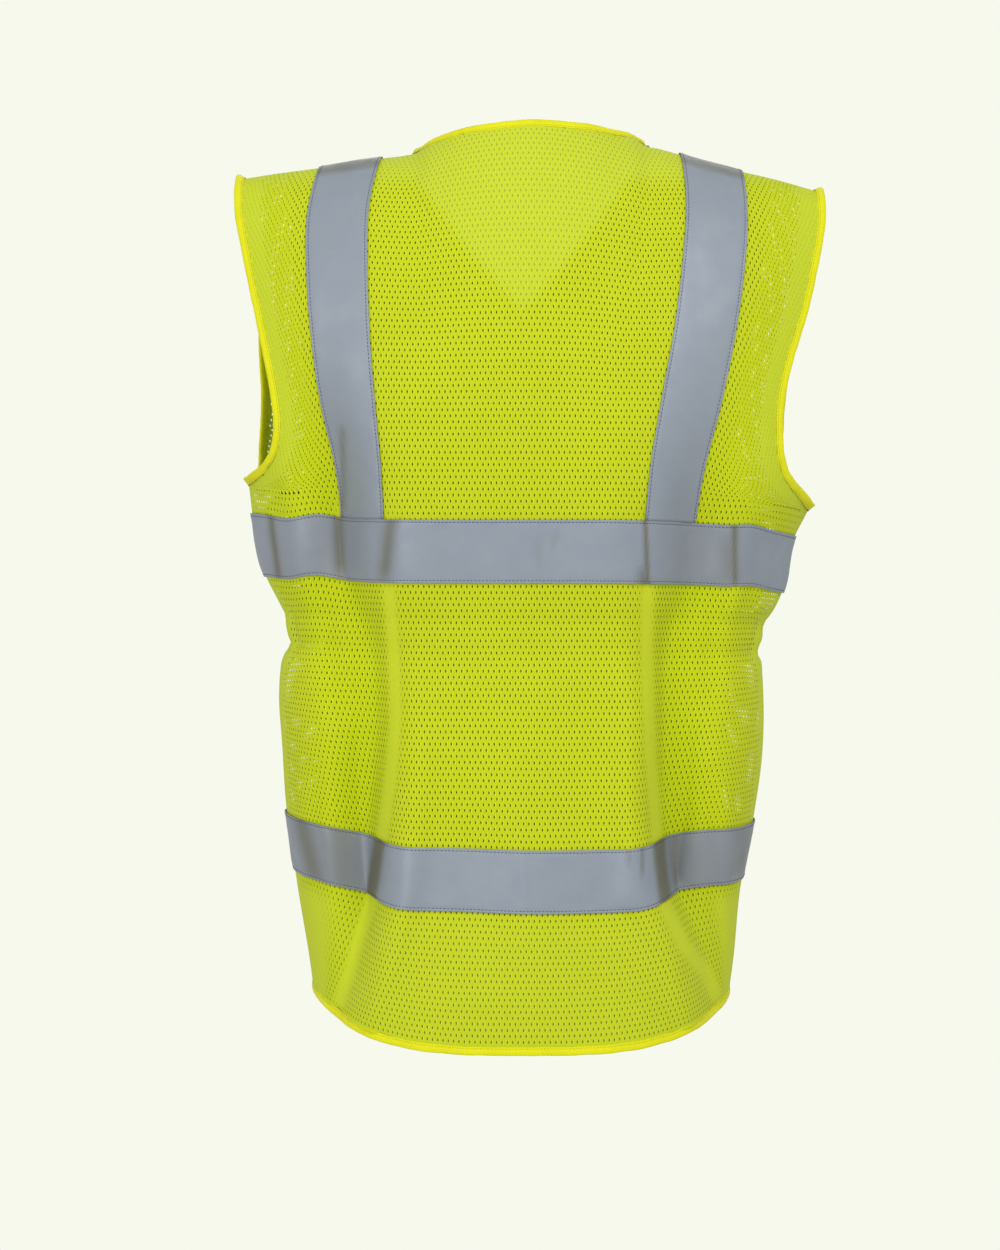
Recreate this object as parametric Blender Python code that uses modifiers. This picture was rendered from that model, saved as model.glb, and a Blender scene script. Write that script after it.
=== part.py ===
"""Sleeveless open-mesh safety vest, filled out as it is worn, with nobody in it.

Metres, +Z up. The wearer's back faces -Y, the front with its zip faces +Y, and +X is the
wearer's right. The origin lies midway between the two shoulder seams, level with the shoulder
strips where they cross the seams, which is where the wearer's shoulders carry the vest.

The cloth is one surface. A point on it is named by its panel, its side, a column line that runs
up the cloth and a nominal height, the height that it has at the middle of the back. Every piece
is made from points of that surface, moved in or out by the thickness of what lies between.
"""

import math

import bmesh
import bpy
import numpy as np
from mathutils import Matrix, Vector

# ---- driving sizes -----------------------------------------------------------------------------

TAPE_WIDTH = 0.050
ELASTIC_WIDTH = 0.025
BINDING_WIDTH = 0.0072

MESH_WALL = 0.0012
TAPE_WALL = 0.0010
ELASTIC_WALL = 0.0012
BINDING_WALL = 0.0030
SEAM_GAP = 0.0003
PANEL_GAP = 0.0005
EDGE_GAP = 0.0008

HEM_Z = -0.7153
LOWER_BAND_Z = -0.611
WAIST_Z = -0.395
CHEST_BAND_Z = -0.350
UNDERARM_Z = -0.280
V_NECK_Z = -0.1115

NAPE_DEPTH = 0.080
NECK_HALF_LEFT = 0.0935
NECK_HALF_RIGHT = 0.1025

# How square the sections are: 2 and 0.5 would make an ellipse.
BACK_FLATNESS = 3.0
FRONT_FLATNESS = 2.5
SIDE_ROUNDNESS = 0.55
SHOULDER_ROUNDNESS = 2.6

# How sharply the hem and the bands climb towards the side, on the back and on the fronts.
BACK_CLIMB = 3.5
FRONT_CLIMB = 2.0
# The V's arms are a little hollow, and the nape's cut stays near the middle of the back.
V_HOLLOW = 1.15
NAPE_SPREAD = 0.4
# At the hem the column of the neck point is this share of the way out to the strip's.
NECK_COLUMN_SHARE = 0.55
# How the columns crowd towards the side seams.
SIDE_CROWDING = 1.4

ZIP_EDGE = 0.0050
ZIP_TAPE_INNER = 0.0032
ZIP_TAPE_OUTER = 0.0160
ZIP_TAPE_WALL = 0.0007
CHAIN_HALF = 0.0028
CHAIN_WALL = 0.0024

# The slider's body is two plates on a post, and its bail is the loop that holds the pull.
SLIDER_LENGTH = 0.0110
SLIDER_WIDTH = 0.0086
SLIDER_WALL = 0.0052
SLIDER_SLOT = 0.0030
SLIDER_BELOW_TOP = 0.0020
POST_LENGTH = 0.0024
POST_WIDTH = 0.0030
BAIL_LENGTH = 0.0066
BAIL_WIDTH = 0.0024
BAIL_WALL = 0.0011
BAIL_HEIGHT = 0.0034

PULL_LENGTH = 0.0260
PULL_WIDTH = 0.0064
PULL_TIP_WIDTH = 0.0050
PULL_WALL = 0.0016
PULL_HOLE_LENGTH = 0.0040
PULL_HOLE_WIDTH = 0.0032
BAR_RADIUS = 0.0009
BAR_LENGTH = 0.0060

# The insertion box at the foot of the zip, with a slot at each side for the tape's edge.
BOX_LENGTH = 0.0085
BOX_WIDTH = 0.0084
BOX_WALL = 0.0038
BOX_SLOT = 0.0014

# ---- the shape, as short tables with a row for each height ---------------------------------------

# Half widths at the side seams, and depths from the seams' plane to the middle of each panel.
SECTION_COLUMNS = ("z", "half_left", "half_right", "depth_back", "depth_front")
SECTIONS = (
    (-0.730, 0.1755, 0.1715, 0.134, 0.128),
    (-0.690, 0.1800, 0.1760, 0.135, 0.130),
    (-0.620, 0.1905, 0.1820, 0.136, 0.133),
    (-0.560, 0.1985, 0.1925, 0.135, 0.134),
    (-0.500, 0.2020, 0.2000, 0.130, 0.133),
    (-0.445, 0.2045, 0.2010, 0.122, 0.130),
    (-0.408, 0.1955, 0.1955, 0.117, 0.127),
    (-0.395, 0.1965, 0.1975, 0.117, 0.127),
    (-0.382, 0.1995, 0.1995, 0.118, 0.128),
    (-0.350, 0.2165, 0.2135, 0.124, 0.134),
    (-0.300, 0.2265, 0.2265, 0.131, 0.142),
    (-0.280, 0.2290, 0.2365, 0.133, 0.143),
    (-0.200, 0.2440, 0.2500, 0.135, 0.142),
    (-0.100, 0.2600, 0.2680, 0.131, 0.134),
    (0.000, 0.2800, 0.2880, 0.122, 0.122),
)

# How far the cloth hangs above or below its nominal height at the sides and the centre front.
LIFT_COLUMNS = ("z", "side_left", "side_right", "centre_front")
LIFTS = (
    (-0.730, 0.034, 0.030, 0.024),
    (-0.620, 0.015, 0.012, 0.014),
    (-0.540, 0.014, 0.010, 0.008),
    (-0.395, 0.002, -0.002, 0.000),
    (-0.340, 0.004, -0.011, -0.004),
    (-0.280, 0.008, -0.013, -0.004),
)

# Where the column lines run on the back: both edges of each shoulder strip, and below the chest
# band the top and the foot of the long drape fold that hangs from it.
BACK_LINE_COLUMNS = ("z", "in_left", "out_left", "in_right", "out_right")
BACK_LINES = (
    (-0.730, 0.142, 0.158, 0.146, 0.160),
    (-0.660, 0.121, 0.139, 0.130, 0.148),
    (-0.600, 0.107, 0.127, 0.103, 0.124),
    (-0.550, 0.104, 0.127, 0.095, 0.116),
    (-0.450, 0.097, 0.122, 0.093, 0.114),
    (-0.395, 0.100, 0.127, 0.092, 0.117),
    (-0.350, 0.110, 0.145, 0.0935, 0.1345),
    (-0.300, 0.111, 0.147, 0.0945, 0.1365),
    (-0.260, 0.113, 0.151, 0.098, 0.142),
    (-0.200, 0.1185, 0.1635, 0.108, 0.156),
    (-0.150, 0.1225, 0.1695, 0.1175, 0.166),
    (-0.100, 0.1245, 0.1735, 0.1245, 0.174),
    (-0.050, 0.1245, 0.1745, 0.1290, 0.179),
    (0.000, 0.1165, 0.1675, 0.1280, 0.179),
)

# The same lines on the fronts, at both sides alike but for the strips' ends at the shoulders.
FRONT_LINE_COLUMNS = ("z", "in_both", "out_both")
FRONT_LINES = (
    (-0.730, 0.098, 0.128),
    (-0.600, 0.094, 0.126),
    (-0.450, 0.096, 0.130),
    (-0.350, 0.103, 0.148),
    (-0.280, 0.106, 0.153),
    (-0.150, 0.113, 0.162),
    (0.000, 0.122, 0.173),
)

# The cut edge of the armholes, inside their binding.
ARMHOLE_COLUMNS = ("z", "back_left", "back_right", "front_left", "front_right")
ARMHOLES = (
    (-0.2800, 0.2290, 0.2365, 0.2290, 0.2365),
    (-0.2785, 0.2262, 0.2335, 0.2268, 0.2335),
    (-0.2750, 0.2205, 0.2280, 0.2238, 0.2285),
    (-0.2690, 0.2125, 0.2195, 0.2215, 0.2215),
    (-0.2590, 0.2045, 0.2100, 0.2205, 0.2165),
    (-0.2430, 0.1975, 0.2035, 0.2205, 0.2155),
    (-0.2200, 0.1950, 0.2010, 0.2195, 0.2175),
    (-0.1880, 0.1985, 0.2025, 0.2190, 0.2190),
    (-0.1500, 0.2060, 0.2110, 0.2205, 0.2230),
    (-0.1100, 0.2140, 0.2230, 0.2205, 0.2275),
    (-0.0700, 0.2220, 0.2320, 0.2240, 0.2335),
    (-0.0300, 0.2290, 0.2390, 0.2295, 0.2390),
    (0.0000, 0.2300, 0.2400, 0.2300, 0.2400),
)

# The shoulder seams and, between the neck points, the rise that the cloth makes towards the nape.
SHOULDER_COLUMNS = ("x", "z")
SHOULDER_LINE = (
    (-0.250, -0.0170),
    (-0.205, -0.0110),
    (-0.165, -0.0060),
    (-0.140, -0.0015),
    (-0.115, 0.0030),
    (-0.092, 0.0070),
    (-0.070, 0.0210),
    (-0.045, 0.0430),
    (0.000, 0.0640),
    (0.050, 0.0455),
    (0.078, 0.0250),
    (0.102, 0.0135),
    (0.125, 0.0055),
    (0.150, -0.0020),
    (0.175, -0.0080),
    (0.205, -0.0150),
    (0.250, -0.0280),
)

# The long drape folds of the back: how deep the valley at each fold's foot is.
CREASE_COLUMNS = ("z", "depth_left", "depth_right")
CREASES = (
    (-0.730, 0.026, 0.026),
    (-0.660, 0.034, 0.034),
    (-0.600, 0.041, 0.040),
    (-0.540, 0.039, 0.038),
    (-0.450, 0.024, 0.026),
    (-0.395, 0.020, 0.022),
    (-0.350, 0.027, 0.026),
    (-0.300, 0.029, 0.022),
    (-0.250, 0.022, 0.012),
    (-0.200, 0.011, 0.004),
    (-0.140, 0.000, 0.000),
    (0.000, 0.000, 0.000),
)
CREASE_INNER_SHARE = 0.62
CREASE_OUTER_WIDTH = 0.036
CREASE_RIDGE = 0.16

# Smaller folds. x is the place across at the fold's upper and lower end, negative on the left.
FOLD_COLUMNS = ("panel", "z_top", "z_low", "x_top", "x_low", "half_width", "depth")
FOLDS = (
    ("back", -0.270, -0.390, -0.2050, -0.1900, 0.010, 0.011),
    ("back", -0.290, -0.400, 0.1950, 0.1800, 0.009, 0.009),
    ("back", -0.330, -0.470, -0.1700, -0.1500, 0.012, 0.007),
    ("back", -0.340, -0.460, 0.1560, 0.1500, 0.012, 0.007),
    ("back", -0.500, -0.730, -0.1720, -0.1680, 0.009, 0.010),
    ("back", -0.500, -0.700, 0.1500, 0.1620, 0.009, 0.008),
    ("back", -0.400, -0.680, -0.0350, -0.0500, 0.030, 0.004),
    ("back", -0.420, -0.720, 0.0450, 0.0600, 0.032, 0.004),
    ("front", -0.300, -0.730, -0.1300, -0.1400, 0.018, 0.022),
    ("front", -0.310, -0.730, 0.1320, 0.1300, 0.018, 0.020),
    ("front", -0.360, -0.700, -0.0700, -0.0760, 0.016, 0.008),
    ("front", -0.380, -0.730, 0.0640, 0.0780, 0.016, 0.009),
    ("front", -0.250, -0.390, -0.1950, -0.1800, 0.011, 0.010),
    ("front", -0.260, -0.390, 0.1980, 0.1820, 0.011, 0.009),
)

# How full a fold stays along its length, and how fast all folds die out at the side seam.
FOLD_FULLNESS = 0.7
FOLD_FADE_AT_SIDE = 3.0

# The gathers that the elastic draws into each side waist.
GATHER_PITCH = 0.030
GATHER_DEPTH = 0.0018
GATHER_REACH = 0.075
GATHER_FADE = 0.020

# ---- the grid of the panels ----------------------------------------------------------------------

# Rows between named heights, from the hem up to the underarm.
ROW_COUNTS = (
    (HEM_Z, LOWER_BAND_Z, 4),
    (LOWER_BAND_Z, LOWER_BAND_Z + TAPE_WIDTH, 2),
    (LOWER_BAND_Z + TAPE_WIDTH, WAIST_Z - ELASTIC_WIDTH / 2, 5),
    (WAIST_Z - ELASTIC_WIDTH / 2, WAIST_Z + ELASTIC_WIDTH / 2, 2),
    (WAIST_Z + ELASTIC_WIDTH / 2, CHEST_BAND_Z, 2),
    (CHEST_BAND_Z, CHEST_BAND_Z + TAPE_WIDTH, 2),
    (CHEST_BAND_Z + TAPE_WIDTH, UNDERARM_Z, 1),
)

# Rows above the underarm: their nominal height inside the strips, and at the armholes' edges,
# where they crowd towards the underarm.
UPPER_COLUMNS = ("z_middle", "z_edge")
UPPER_ROWS = (
    (-0.2620, -0.2785),
    (-0.2420, -0.2750),
    (-0.2210, -0.2690),
    (-0.1980, -0.2590),
    (-0.1740, -0.2430),
    (-0.1480, -0.2170),
    (-0.1210, -0.1780),
    (-0.0930, -0.1360),
    (-0.0650, -0.0930),
    (-0.0400, -0.0550),
    (-0.0180, -0.0240),
    (-0.0045, -0.0060),
    (0.0000, 0.0000),
)

# Columns between the column lines, from the middle of a panel to its side.
CENTRE_TO_NECK = 4
NECK_TO_STRIP = 2
STRIP = 2
STRIP_TO_SIDE = 6


def column(table, names, name):
    """One named column of a table, as an array."""
    return np.array([row[names.index(name)] for row in table], float)


def along(table, names, name, x):
    """A smooth curve through a named column, read at x in the table's first column."""
    xs = column(table, names, names[0])
    ys = column(table, names, name)
    slopes = np.gradient(ys, xs)
    x = min(max(x, xs[0]), xs[-1])
    i = int(np.clip(np.searchsorted(xs, x) - 1, 0, len(xs) - 2))
    span = xs[i + 1] - xs[i]
    t = (x - xs[i]) / span
    start = (1 + 2 * t) * (1 - t) ** 2 * ys[i] + t * (1 - t) ** 2 * slopes[i] * span
    end = t * t * (3 - 2 * t) * ys[i + 1] - t * t * (1 - t) * slopes[i + 1] * span
    return float(start + end)


def smooth_step(t):
    t = min(max(t, 0.0), 1.0)
    return t * t * (3 - 2 * t)


def side_name(side):
    return "left" if side < 0 else "right"


def half_width(side, z):
    return along(SECTIONS, SECTION_COLUMNS, "half_" + side_name(side), z)


def neck_half(side):
    return NECK_HALF_LEFT if side < 0 else NECK_HALF_RIGHT


def strip_line(panel, side, edge, z):
    """Distance from the middle to the strip's inner or outer edge line, at nominal height z."""
    back = along(BACK_LINES, BACK_LINE_COLUMNS, f"{edge}_{side_name(side)}", z)
    if panel == "back":
        return back
    front = along(FRONT_LINES, FRONT_LINE_COLUMNS, edge + "_both", z)
    at_seam = along(BACK_LINES, BACK_LINE_COLUMNS, f"{edge}_{side_name(side)}", 0)
    front_at_seam = along(FRONT_LINES, FRONT_LINE_COLUMNS, edge + "_both", 0)
    reach = smooth_step(1 - z / UNDERARM_Z)
    return front + (at_seam - front_at_seam) * reach


def side_line(panel, side, z):
    """Distance from the middle to the side seam or, above it, to the armhole's cut edge."""
    if z <= UNDERARM_Z:
        return half_width(side, z)
    return along(ARMHOLES, ARMHOLE_COLUMNS, f"{panel}_{side_name(side)}", z)


def neck_line(panel, side, z):
    """Distance from the middle to the line that ends at the neck point."""
    low = NECK_COLUMN_SHARE * strip_line(panel, side, "in", z)
    return low + (neck_half(side) - low) * smooth_step(1 - z / UNDERARM_Z)


def section_depth(panel, ratio):
    """Depth of a section at a share of its half width, as a share of its full depth."""
    flatness = BACK_FLATNESS if panel == "back" else FRONT_FLATNESS
    return max(1 - min(ratio, 1.0) ** flatness, 0.0) ** SIDE_ROUNDNESS


def fold_depth(panel, x, z):
    """How far the folds push the cloth in towards the wearer at x and nominal height z."""
    side = -1 if x < 0 else 1
    pushed = 0.0
    if panel == "back":
        depth = along(CREASES, CREASE_COLUMNS, "depth_" + side_name(side), z)
        ridge = strip_line(panel, side, "in", z)
        foot = strip_line(panel, side, "out", z)
        inner = (foot - ridge) * CREASE_INNER_SHARE
        width = inner if abs(x) < foot else CREASE_OUTER_WIDTH
        pushed += depth * math.exp(-(((abs(x) - foot) / width) ** 2))
        pushed -= CREASE_RIDGE * depth * math.exp(-(((abs(x) - ridge + inner) / inner) ** 2))
    for row in FOLDS:
        fold = dict(zip(FOLD_COLUMNS, row))
        if fold["panel"] != panel or fold["x_top"] * x <= 0:
            continue
        length = fold["z_top"] - fold["z_low"]
        down = (fold["z_top"] - z) / length
        if not 0 < down < 1:
            continue
        middle = fold["x_top"] + (fold["x_low"] - fold["x_top"]) * down
        reach = math.sin(math.pi * down) ** FOLD_FULLNESS
        across = ((x - middle) / fold["half_width"]) ** 2
        pushed += fold["depth"] * reach * math.exp(-across)
    return pushed


def gather(arc, z):
    """The small waves at the side waist; arc is the distance from the side seam."""
    reach = math.exp(-(((z - WAIST_Z) / GATHER_FADE) ** 2)) * smooth_step(2 - 2 * arc / GATHER_REACH)
    return GATHER_DEPTH * reach * math.cos(2 * math.pi * arc / GATHER_PITCH)


def top_height(panel, side, x_top):
    """The nominal height at which a column ends: 0 at the shoulder seam, less along the neck."""
    half = neck_half(side)
    if x_top >= half - 1e-6:
        return 0.0
    share = x_top / half
    if panel == "front":
        return V_NECK_Z * (1 - share**V_HOLLOW)
    depth = along(SECTIONS, SECTION_COLUMNS, "depth_back", 0)
    roll = NAPE_DEPTH * math.sqrt(1 - share**2) / (depth * section_depth(panel, share * NAPE_SPREAD))
    return UNDERARM_Z * (1 - (1 - roll**SHOULDER_ROUNDNESS) ** (1 / SHOULDER_ROUNDNESS))


def lift(panel, side, share, z):
    """How far the cloth at a share of the half width hangs off its nominal height."""
    at_side = along(LIFTS, LIFT_COLUMNS, "side_" + side_name(side), z)
    if panel == "back":
        return at_side * share**BACK_CLIMB
    at_front = along(LIFTS, LIFT_COLUMNS, "centre_front", z)
    return at_front + (at_side - at_front) * share**FRONT_CLIMB


def cloth_point(panel, side, x, z, x_top):
    """The point of the cloth at x (0 or more) and nominal height z, in a column that ends at x_top."""
    half = half_width(side, z)
    depth = along(SECTIONS, SECTION_COLUMNS, "depth_" + panel, z)
    share = min(x / half, 1.0)
    y = depth * section_depth(panel, share)
    y -= fold_depth(panel, side * x, z) * min(1.0, FOLD_FADE_AT_SIDE * (1 - share))
    if z <= UNDERARM_Z:
        arc = y + (half - x)
        x += gather(arc, z) * share**2
        height = z + lift(panel, side, share, z)
    else:
        rise = min((z - UNDERARM_Z) / -UNDERARM_Z, 1.0)
        y *= (1 - rise**SHOULDER_ROUNDNESS) ** (1 / SHOULDER_ROUNDNESS)
        x_seam = max(x_top, neck_half(side)) if panel == "front" else x_top
        seam = along(SHOULDER_LINE, SHOULDER_COLUMNS, "z", side * x_seam)
        low = lift(panel, side, share, UNDERARM_Z)
        height = z + low + (seam - low) * rise
    outward = -1 if panel == "back" else 1
    return Vector((side * x, outward * (y + PANEL_GAP / 2), height))


def column_x(panel, side, place, z):
    """x of a column at nominal height z. The place counts columns from the middle of the panel."""
    start = 0.0 if panel == "back" else ZIP_EDGE
    lines = (
        (0, start),
        (CENTRE_TO_NECK, neck_line(panel, side, z)),
        (CENTRE_TO_NECK + NECK_TO_STRIP, strip_line(panel, side, "in", z)),
        (CENTRE_TO_NECK + NECK_TO_STRIP + STRIP, strip_line(panel, side, "out", z)),
    )
    for (first, x_first), (last, x_last) in zip(lines, lines[1:]):
        if place <= last:
            if panel == "front" and first == 0:
                if place <= 1:
                    return ZIP_EDGE + (ZIP_TAPE_OUTER - ZIP_EDGE) * place
                first, x_first = 1, ZIP_TAPE_OUTER
            return x_first + (x_last - x_first) * (place - first) / (last - first)
    # From the strip to the side the columns are even along the curve, not across.
    half = half_width(side, z)
    first, x_first = lines[-1]
    edge = side_line(panel, side, z)
    turn = (place - first) / STRIP_TO_SIDE
    angle_first = math.asin(min(x_first / half, 1.0) ** SIDE_CROWDING)
    angle_last = math.asin(min(edge / half, 1.0) ** SIDE_CROWDING)
    angle = angle_first + (angle_last - angle_first) * turn
    return half * math.sin(angle) ** (1 / SIDE_CROWDING)


PLACES = CENTRE_TO_NECK + NECK_TO_STRIP + STRIP + STRIP_TO_SIDE
STRIP_FIRST = CENTRE_TO_NECK + NECK_TO_STRIP
STRIP_LAST = STRIP_FIRST + STRIP


def rows():
    """Pairs of nominal heights, in the middle and at the armholes, from the hem to the shoulder."""
    found = [(HEM_Z, HEM_Z)]
    for low, high, count in ROW_COUNTS:
        for step in range(1, count + 1):
            z = low + (high - low) * step / count
            found.append((z, z))
    return found + list(zip(*(column(UPPER_ROWS, UPPER_COLUMNS, name) for name in UPPER_COLUMNS)))


ROWS = rows()


def row_at(z):
    """The number of the row at a nominal height below the underarm."""
    return min(range(len(ROWS)), key=lambda j: abs(ROWS[j][0] - z))


UNDERARM_ROW = row_at(UNDERARM_Z)
LAST_ROW = len(ROWS) - 1


def panel_point(panel, side, place, row):
    """The cloth's point in a column and a row of the panels' grid."""
    z_middle, z_edge = ROWS[row]
    to_edge = smooth_step((place - STRIP_LAST) / STRIP_TO_SIDE)
    z = z_middle + (z_edge - z_middle) * to_edge
    x_top = column_x(panel, side, place, 0.0)
    if z > UNDERARM_Z:
        top = top_height(panel, side, x_top)
        z = UNDERARM_Z + (z - UNDERARM_Z) * (top - UNDERARM_Z) / -UNDERARM_Z
    return cloth_point(panel, side, column_x(panel, side, place, z), z, x_top)


def back_grid():
    """Points of the back, by row and by column, from its left side to its right."""
    places = [(-1, p) for p in range(PLACES, 0, -1)] + [(1, p) for p in range(PLACES + 1)]
    return np.array(
        [[panel_point("back", side, p, row) for side, p in places] for row in range(len(ROWS))]
    )


def front_grid(side):
    """Points of one front, by row and by column, so that its outer face is the mesh's front."""
    places = range(PLACES + 1) if side < 0 else range(PLACES, -1, -1)
    return np.array(
        [[panel_point("front", side, p, row) for p in places] for row in range(len(ROWS))]
    )


def outward(grid):
    """The unit normal at each point of a grid, away from the wearer."""
    across = np.gradient(grid, axis=1)
    up = np.gradient(grid, axis=0)
    normal = np.cross(across, up)
    return normal / np.linalg.norm(normal, axis=2, keepdims=True)


# ---- solids --------------------------------------------------------------------------------------


def clear_scene():
    for thing in list(bpy.data.objects):
        bpy.data.objects.remove(thing, do_unlink=True)


def new_collection(name):
    made = bpy.data.collections.new(name)
    bpy.context.scene.collection.children.link(made)
    return made


def new_material(name, colour, roughness, metallic=0.0):
    material = bpy.data.materials.new(name)
    material.use_nodes = True
    shader = material.node_tree.nodes["Principled BSDF"]
    shader.inputs["Base Color"].default_value = (*colour, 1)
    shader.inputs["Roughness"].default_value = roughness
    shader.inputs["Metallic"].default_value = metallic
    return material


def add_object(name, mesh, material, collection):
    made = bpy.data.objects.new(name, mesh)
    collection.objects.link(made)
    mesh.materials.append(material)
    mesh.shade_smooth()
    mesh.set_sharp_from_angle(angle=math.radians(40))
    return made


def add_sheet(name, grid, wall, material, collection, closed=False):
    """A grid of points as a sheet of cloth, given its wall by a Solidify modifier."""
    across, up = grid.shape[1] - 1, grid.shape[0] - 1
    mesh = bpy.data.meshes.new(name)
    sheet = bmesh.new()
    bmesh.ops.create_grid(sheet, x_segments=across, y_segments=up, size=1.0)
    for vert in sheet.verts:
        i = round((vert.co.x + 1) / 2 * across)
        j = round((vert.co.y + 1) / 2 * up)
        vert.co = Vector(grid[j, i])
    if closed:
        bmesh.ops.remove_doubles(sheet, verts=sheet.verts, dist=1e-6)
    sheet.to_mesh(mesh)
    sheet.free()
    made = add_object(name, mesh, material, collection)
    solidify = made.modifiers.new("wall", "SOLIDIFY")
    solidify.thickness = wall
    solidify.offset = 0.0
    return made


def layer(grid, below, wall, inwards=False):
    """The middle of a layer that lies on a wall: the grid's points, moved out or in."""
    step = below / 2 + SEAM_GAP + wall / 2
    return grid + outward(grid) * (-step if inwards else step)


def edge_strip(edge, inner, closed):
    """Rows of points for a binding: from just clear of the cut edge, on the way the cloth runs.

    Args:
        edge: Points of the cut edge.
        inner: For each of them, a point of the cloth further in.
        closed: Whether the edge is a loop.
    """
    if closed:
        tangent = np.roll(edge, -1, axis=0) - np.roll(edge, 1, axis=0)
    else:
        tangent = np.gradient(edge, axis=0)
    tangent /= np.linalg.norm(tangent, axis=1, keepdims=True)
    away = edge - inner
    away -= tangent * (away * tangent).sum(axis=1, keepdims=True)
    away /= np.linalg.norm(away, axis=1, keepdims=True)
    steps = (0, BINDING_WIDTH / 2, BINDING_WIDTH)
    strip = np.stack([edge + away * (EDGE_GAP + d) for d in steps], axis=1)
    return np.concatenate([strip, strip[:1]]) if closed else strip


def add_binding(name, edge, inner, material, collection, closed=False):
    strip = edge_strip(np.array(edge), np.array(inner), closed)
    return add_sheet(name, strip, BINDING_WALL, material, collection, closed)


def joined(first, second):
    """The mean of two points or normals that meet across a seam."""
    return (np.array(first) + np.array(second)) / 2


def along_line(line, distance):
    """The point of a line of points at a distance from its first one."""
    steps = np.linalg.norm(np.diff(line, axis=0), axis=1)
    lengths = np.concatenate([[0.0], np.cumsum(steps)])
    return Vector([np.interp(distance, lengths, line[:, k]) for k in range(3)])


def seat_on_zip(line, near, far):
    """The frame of a piece that lies on the zip between two distances from the line's start.

    Its x runs across the zip, its y up the zip and its z away from the wearer.
    """
    ends = sorted((along_line(line, near), along_line(line, far)), key=lambda end: end.z)
    up = (ends[1] - ends[0]).normalized()
    across = Vector((-1, 0, 0))
    out = across.cross(up)
    middle = (ends[0] + ends[1]) / 2
    axes = Matrix((across, up, out)).transposed().to_4x4()
    return Matrix.Translation(middle) @ axes


def block(name, size, centre, seat, material, collection):
    """A block of a size (across, up, out) about a centre in a seat's frame."""
    mesh = bpy.data.meshes.new(name)
    shape = bmesh.new()
    bmesh.ops.create_cube(shape, size=1.0)
    bmesh.ops.scale(shape, vec=Vector(size), verts=shape.verts)
    bmesh.ops.translate(shape, vec=Vector(centre), verts=shape.verts)
    bmesh.ops.transform(shape, matrix=seat, verts=shape.verts)
    shape.to_mesh(mesh)
    shape.free()
    return add_object(name, mesh, material, collection)


def combine(target, operand, operation):
    """Join an operand to a target, or cut it out."""
    operand.hide_render = True
    operand.display_type = "WIRE"
    modifier = target.modifiers.new(operand.name, "BOOLEAN")
    modifier.operation = operation
    modifier.solver = "EXACT"
    modifier.object = operand


def soften(target, width):
    bevel = target.modifiers.new("soft_edges", "BEVEL")
    bevel.width = width
    bevel.segments = 2
    bevel.limit_method = "ANGLE"
    bevel.angle_limit = math.radians(50)


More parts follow.
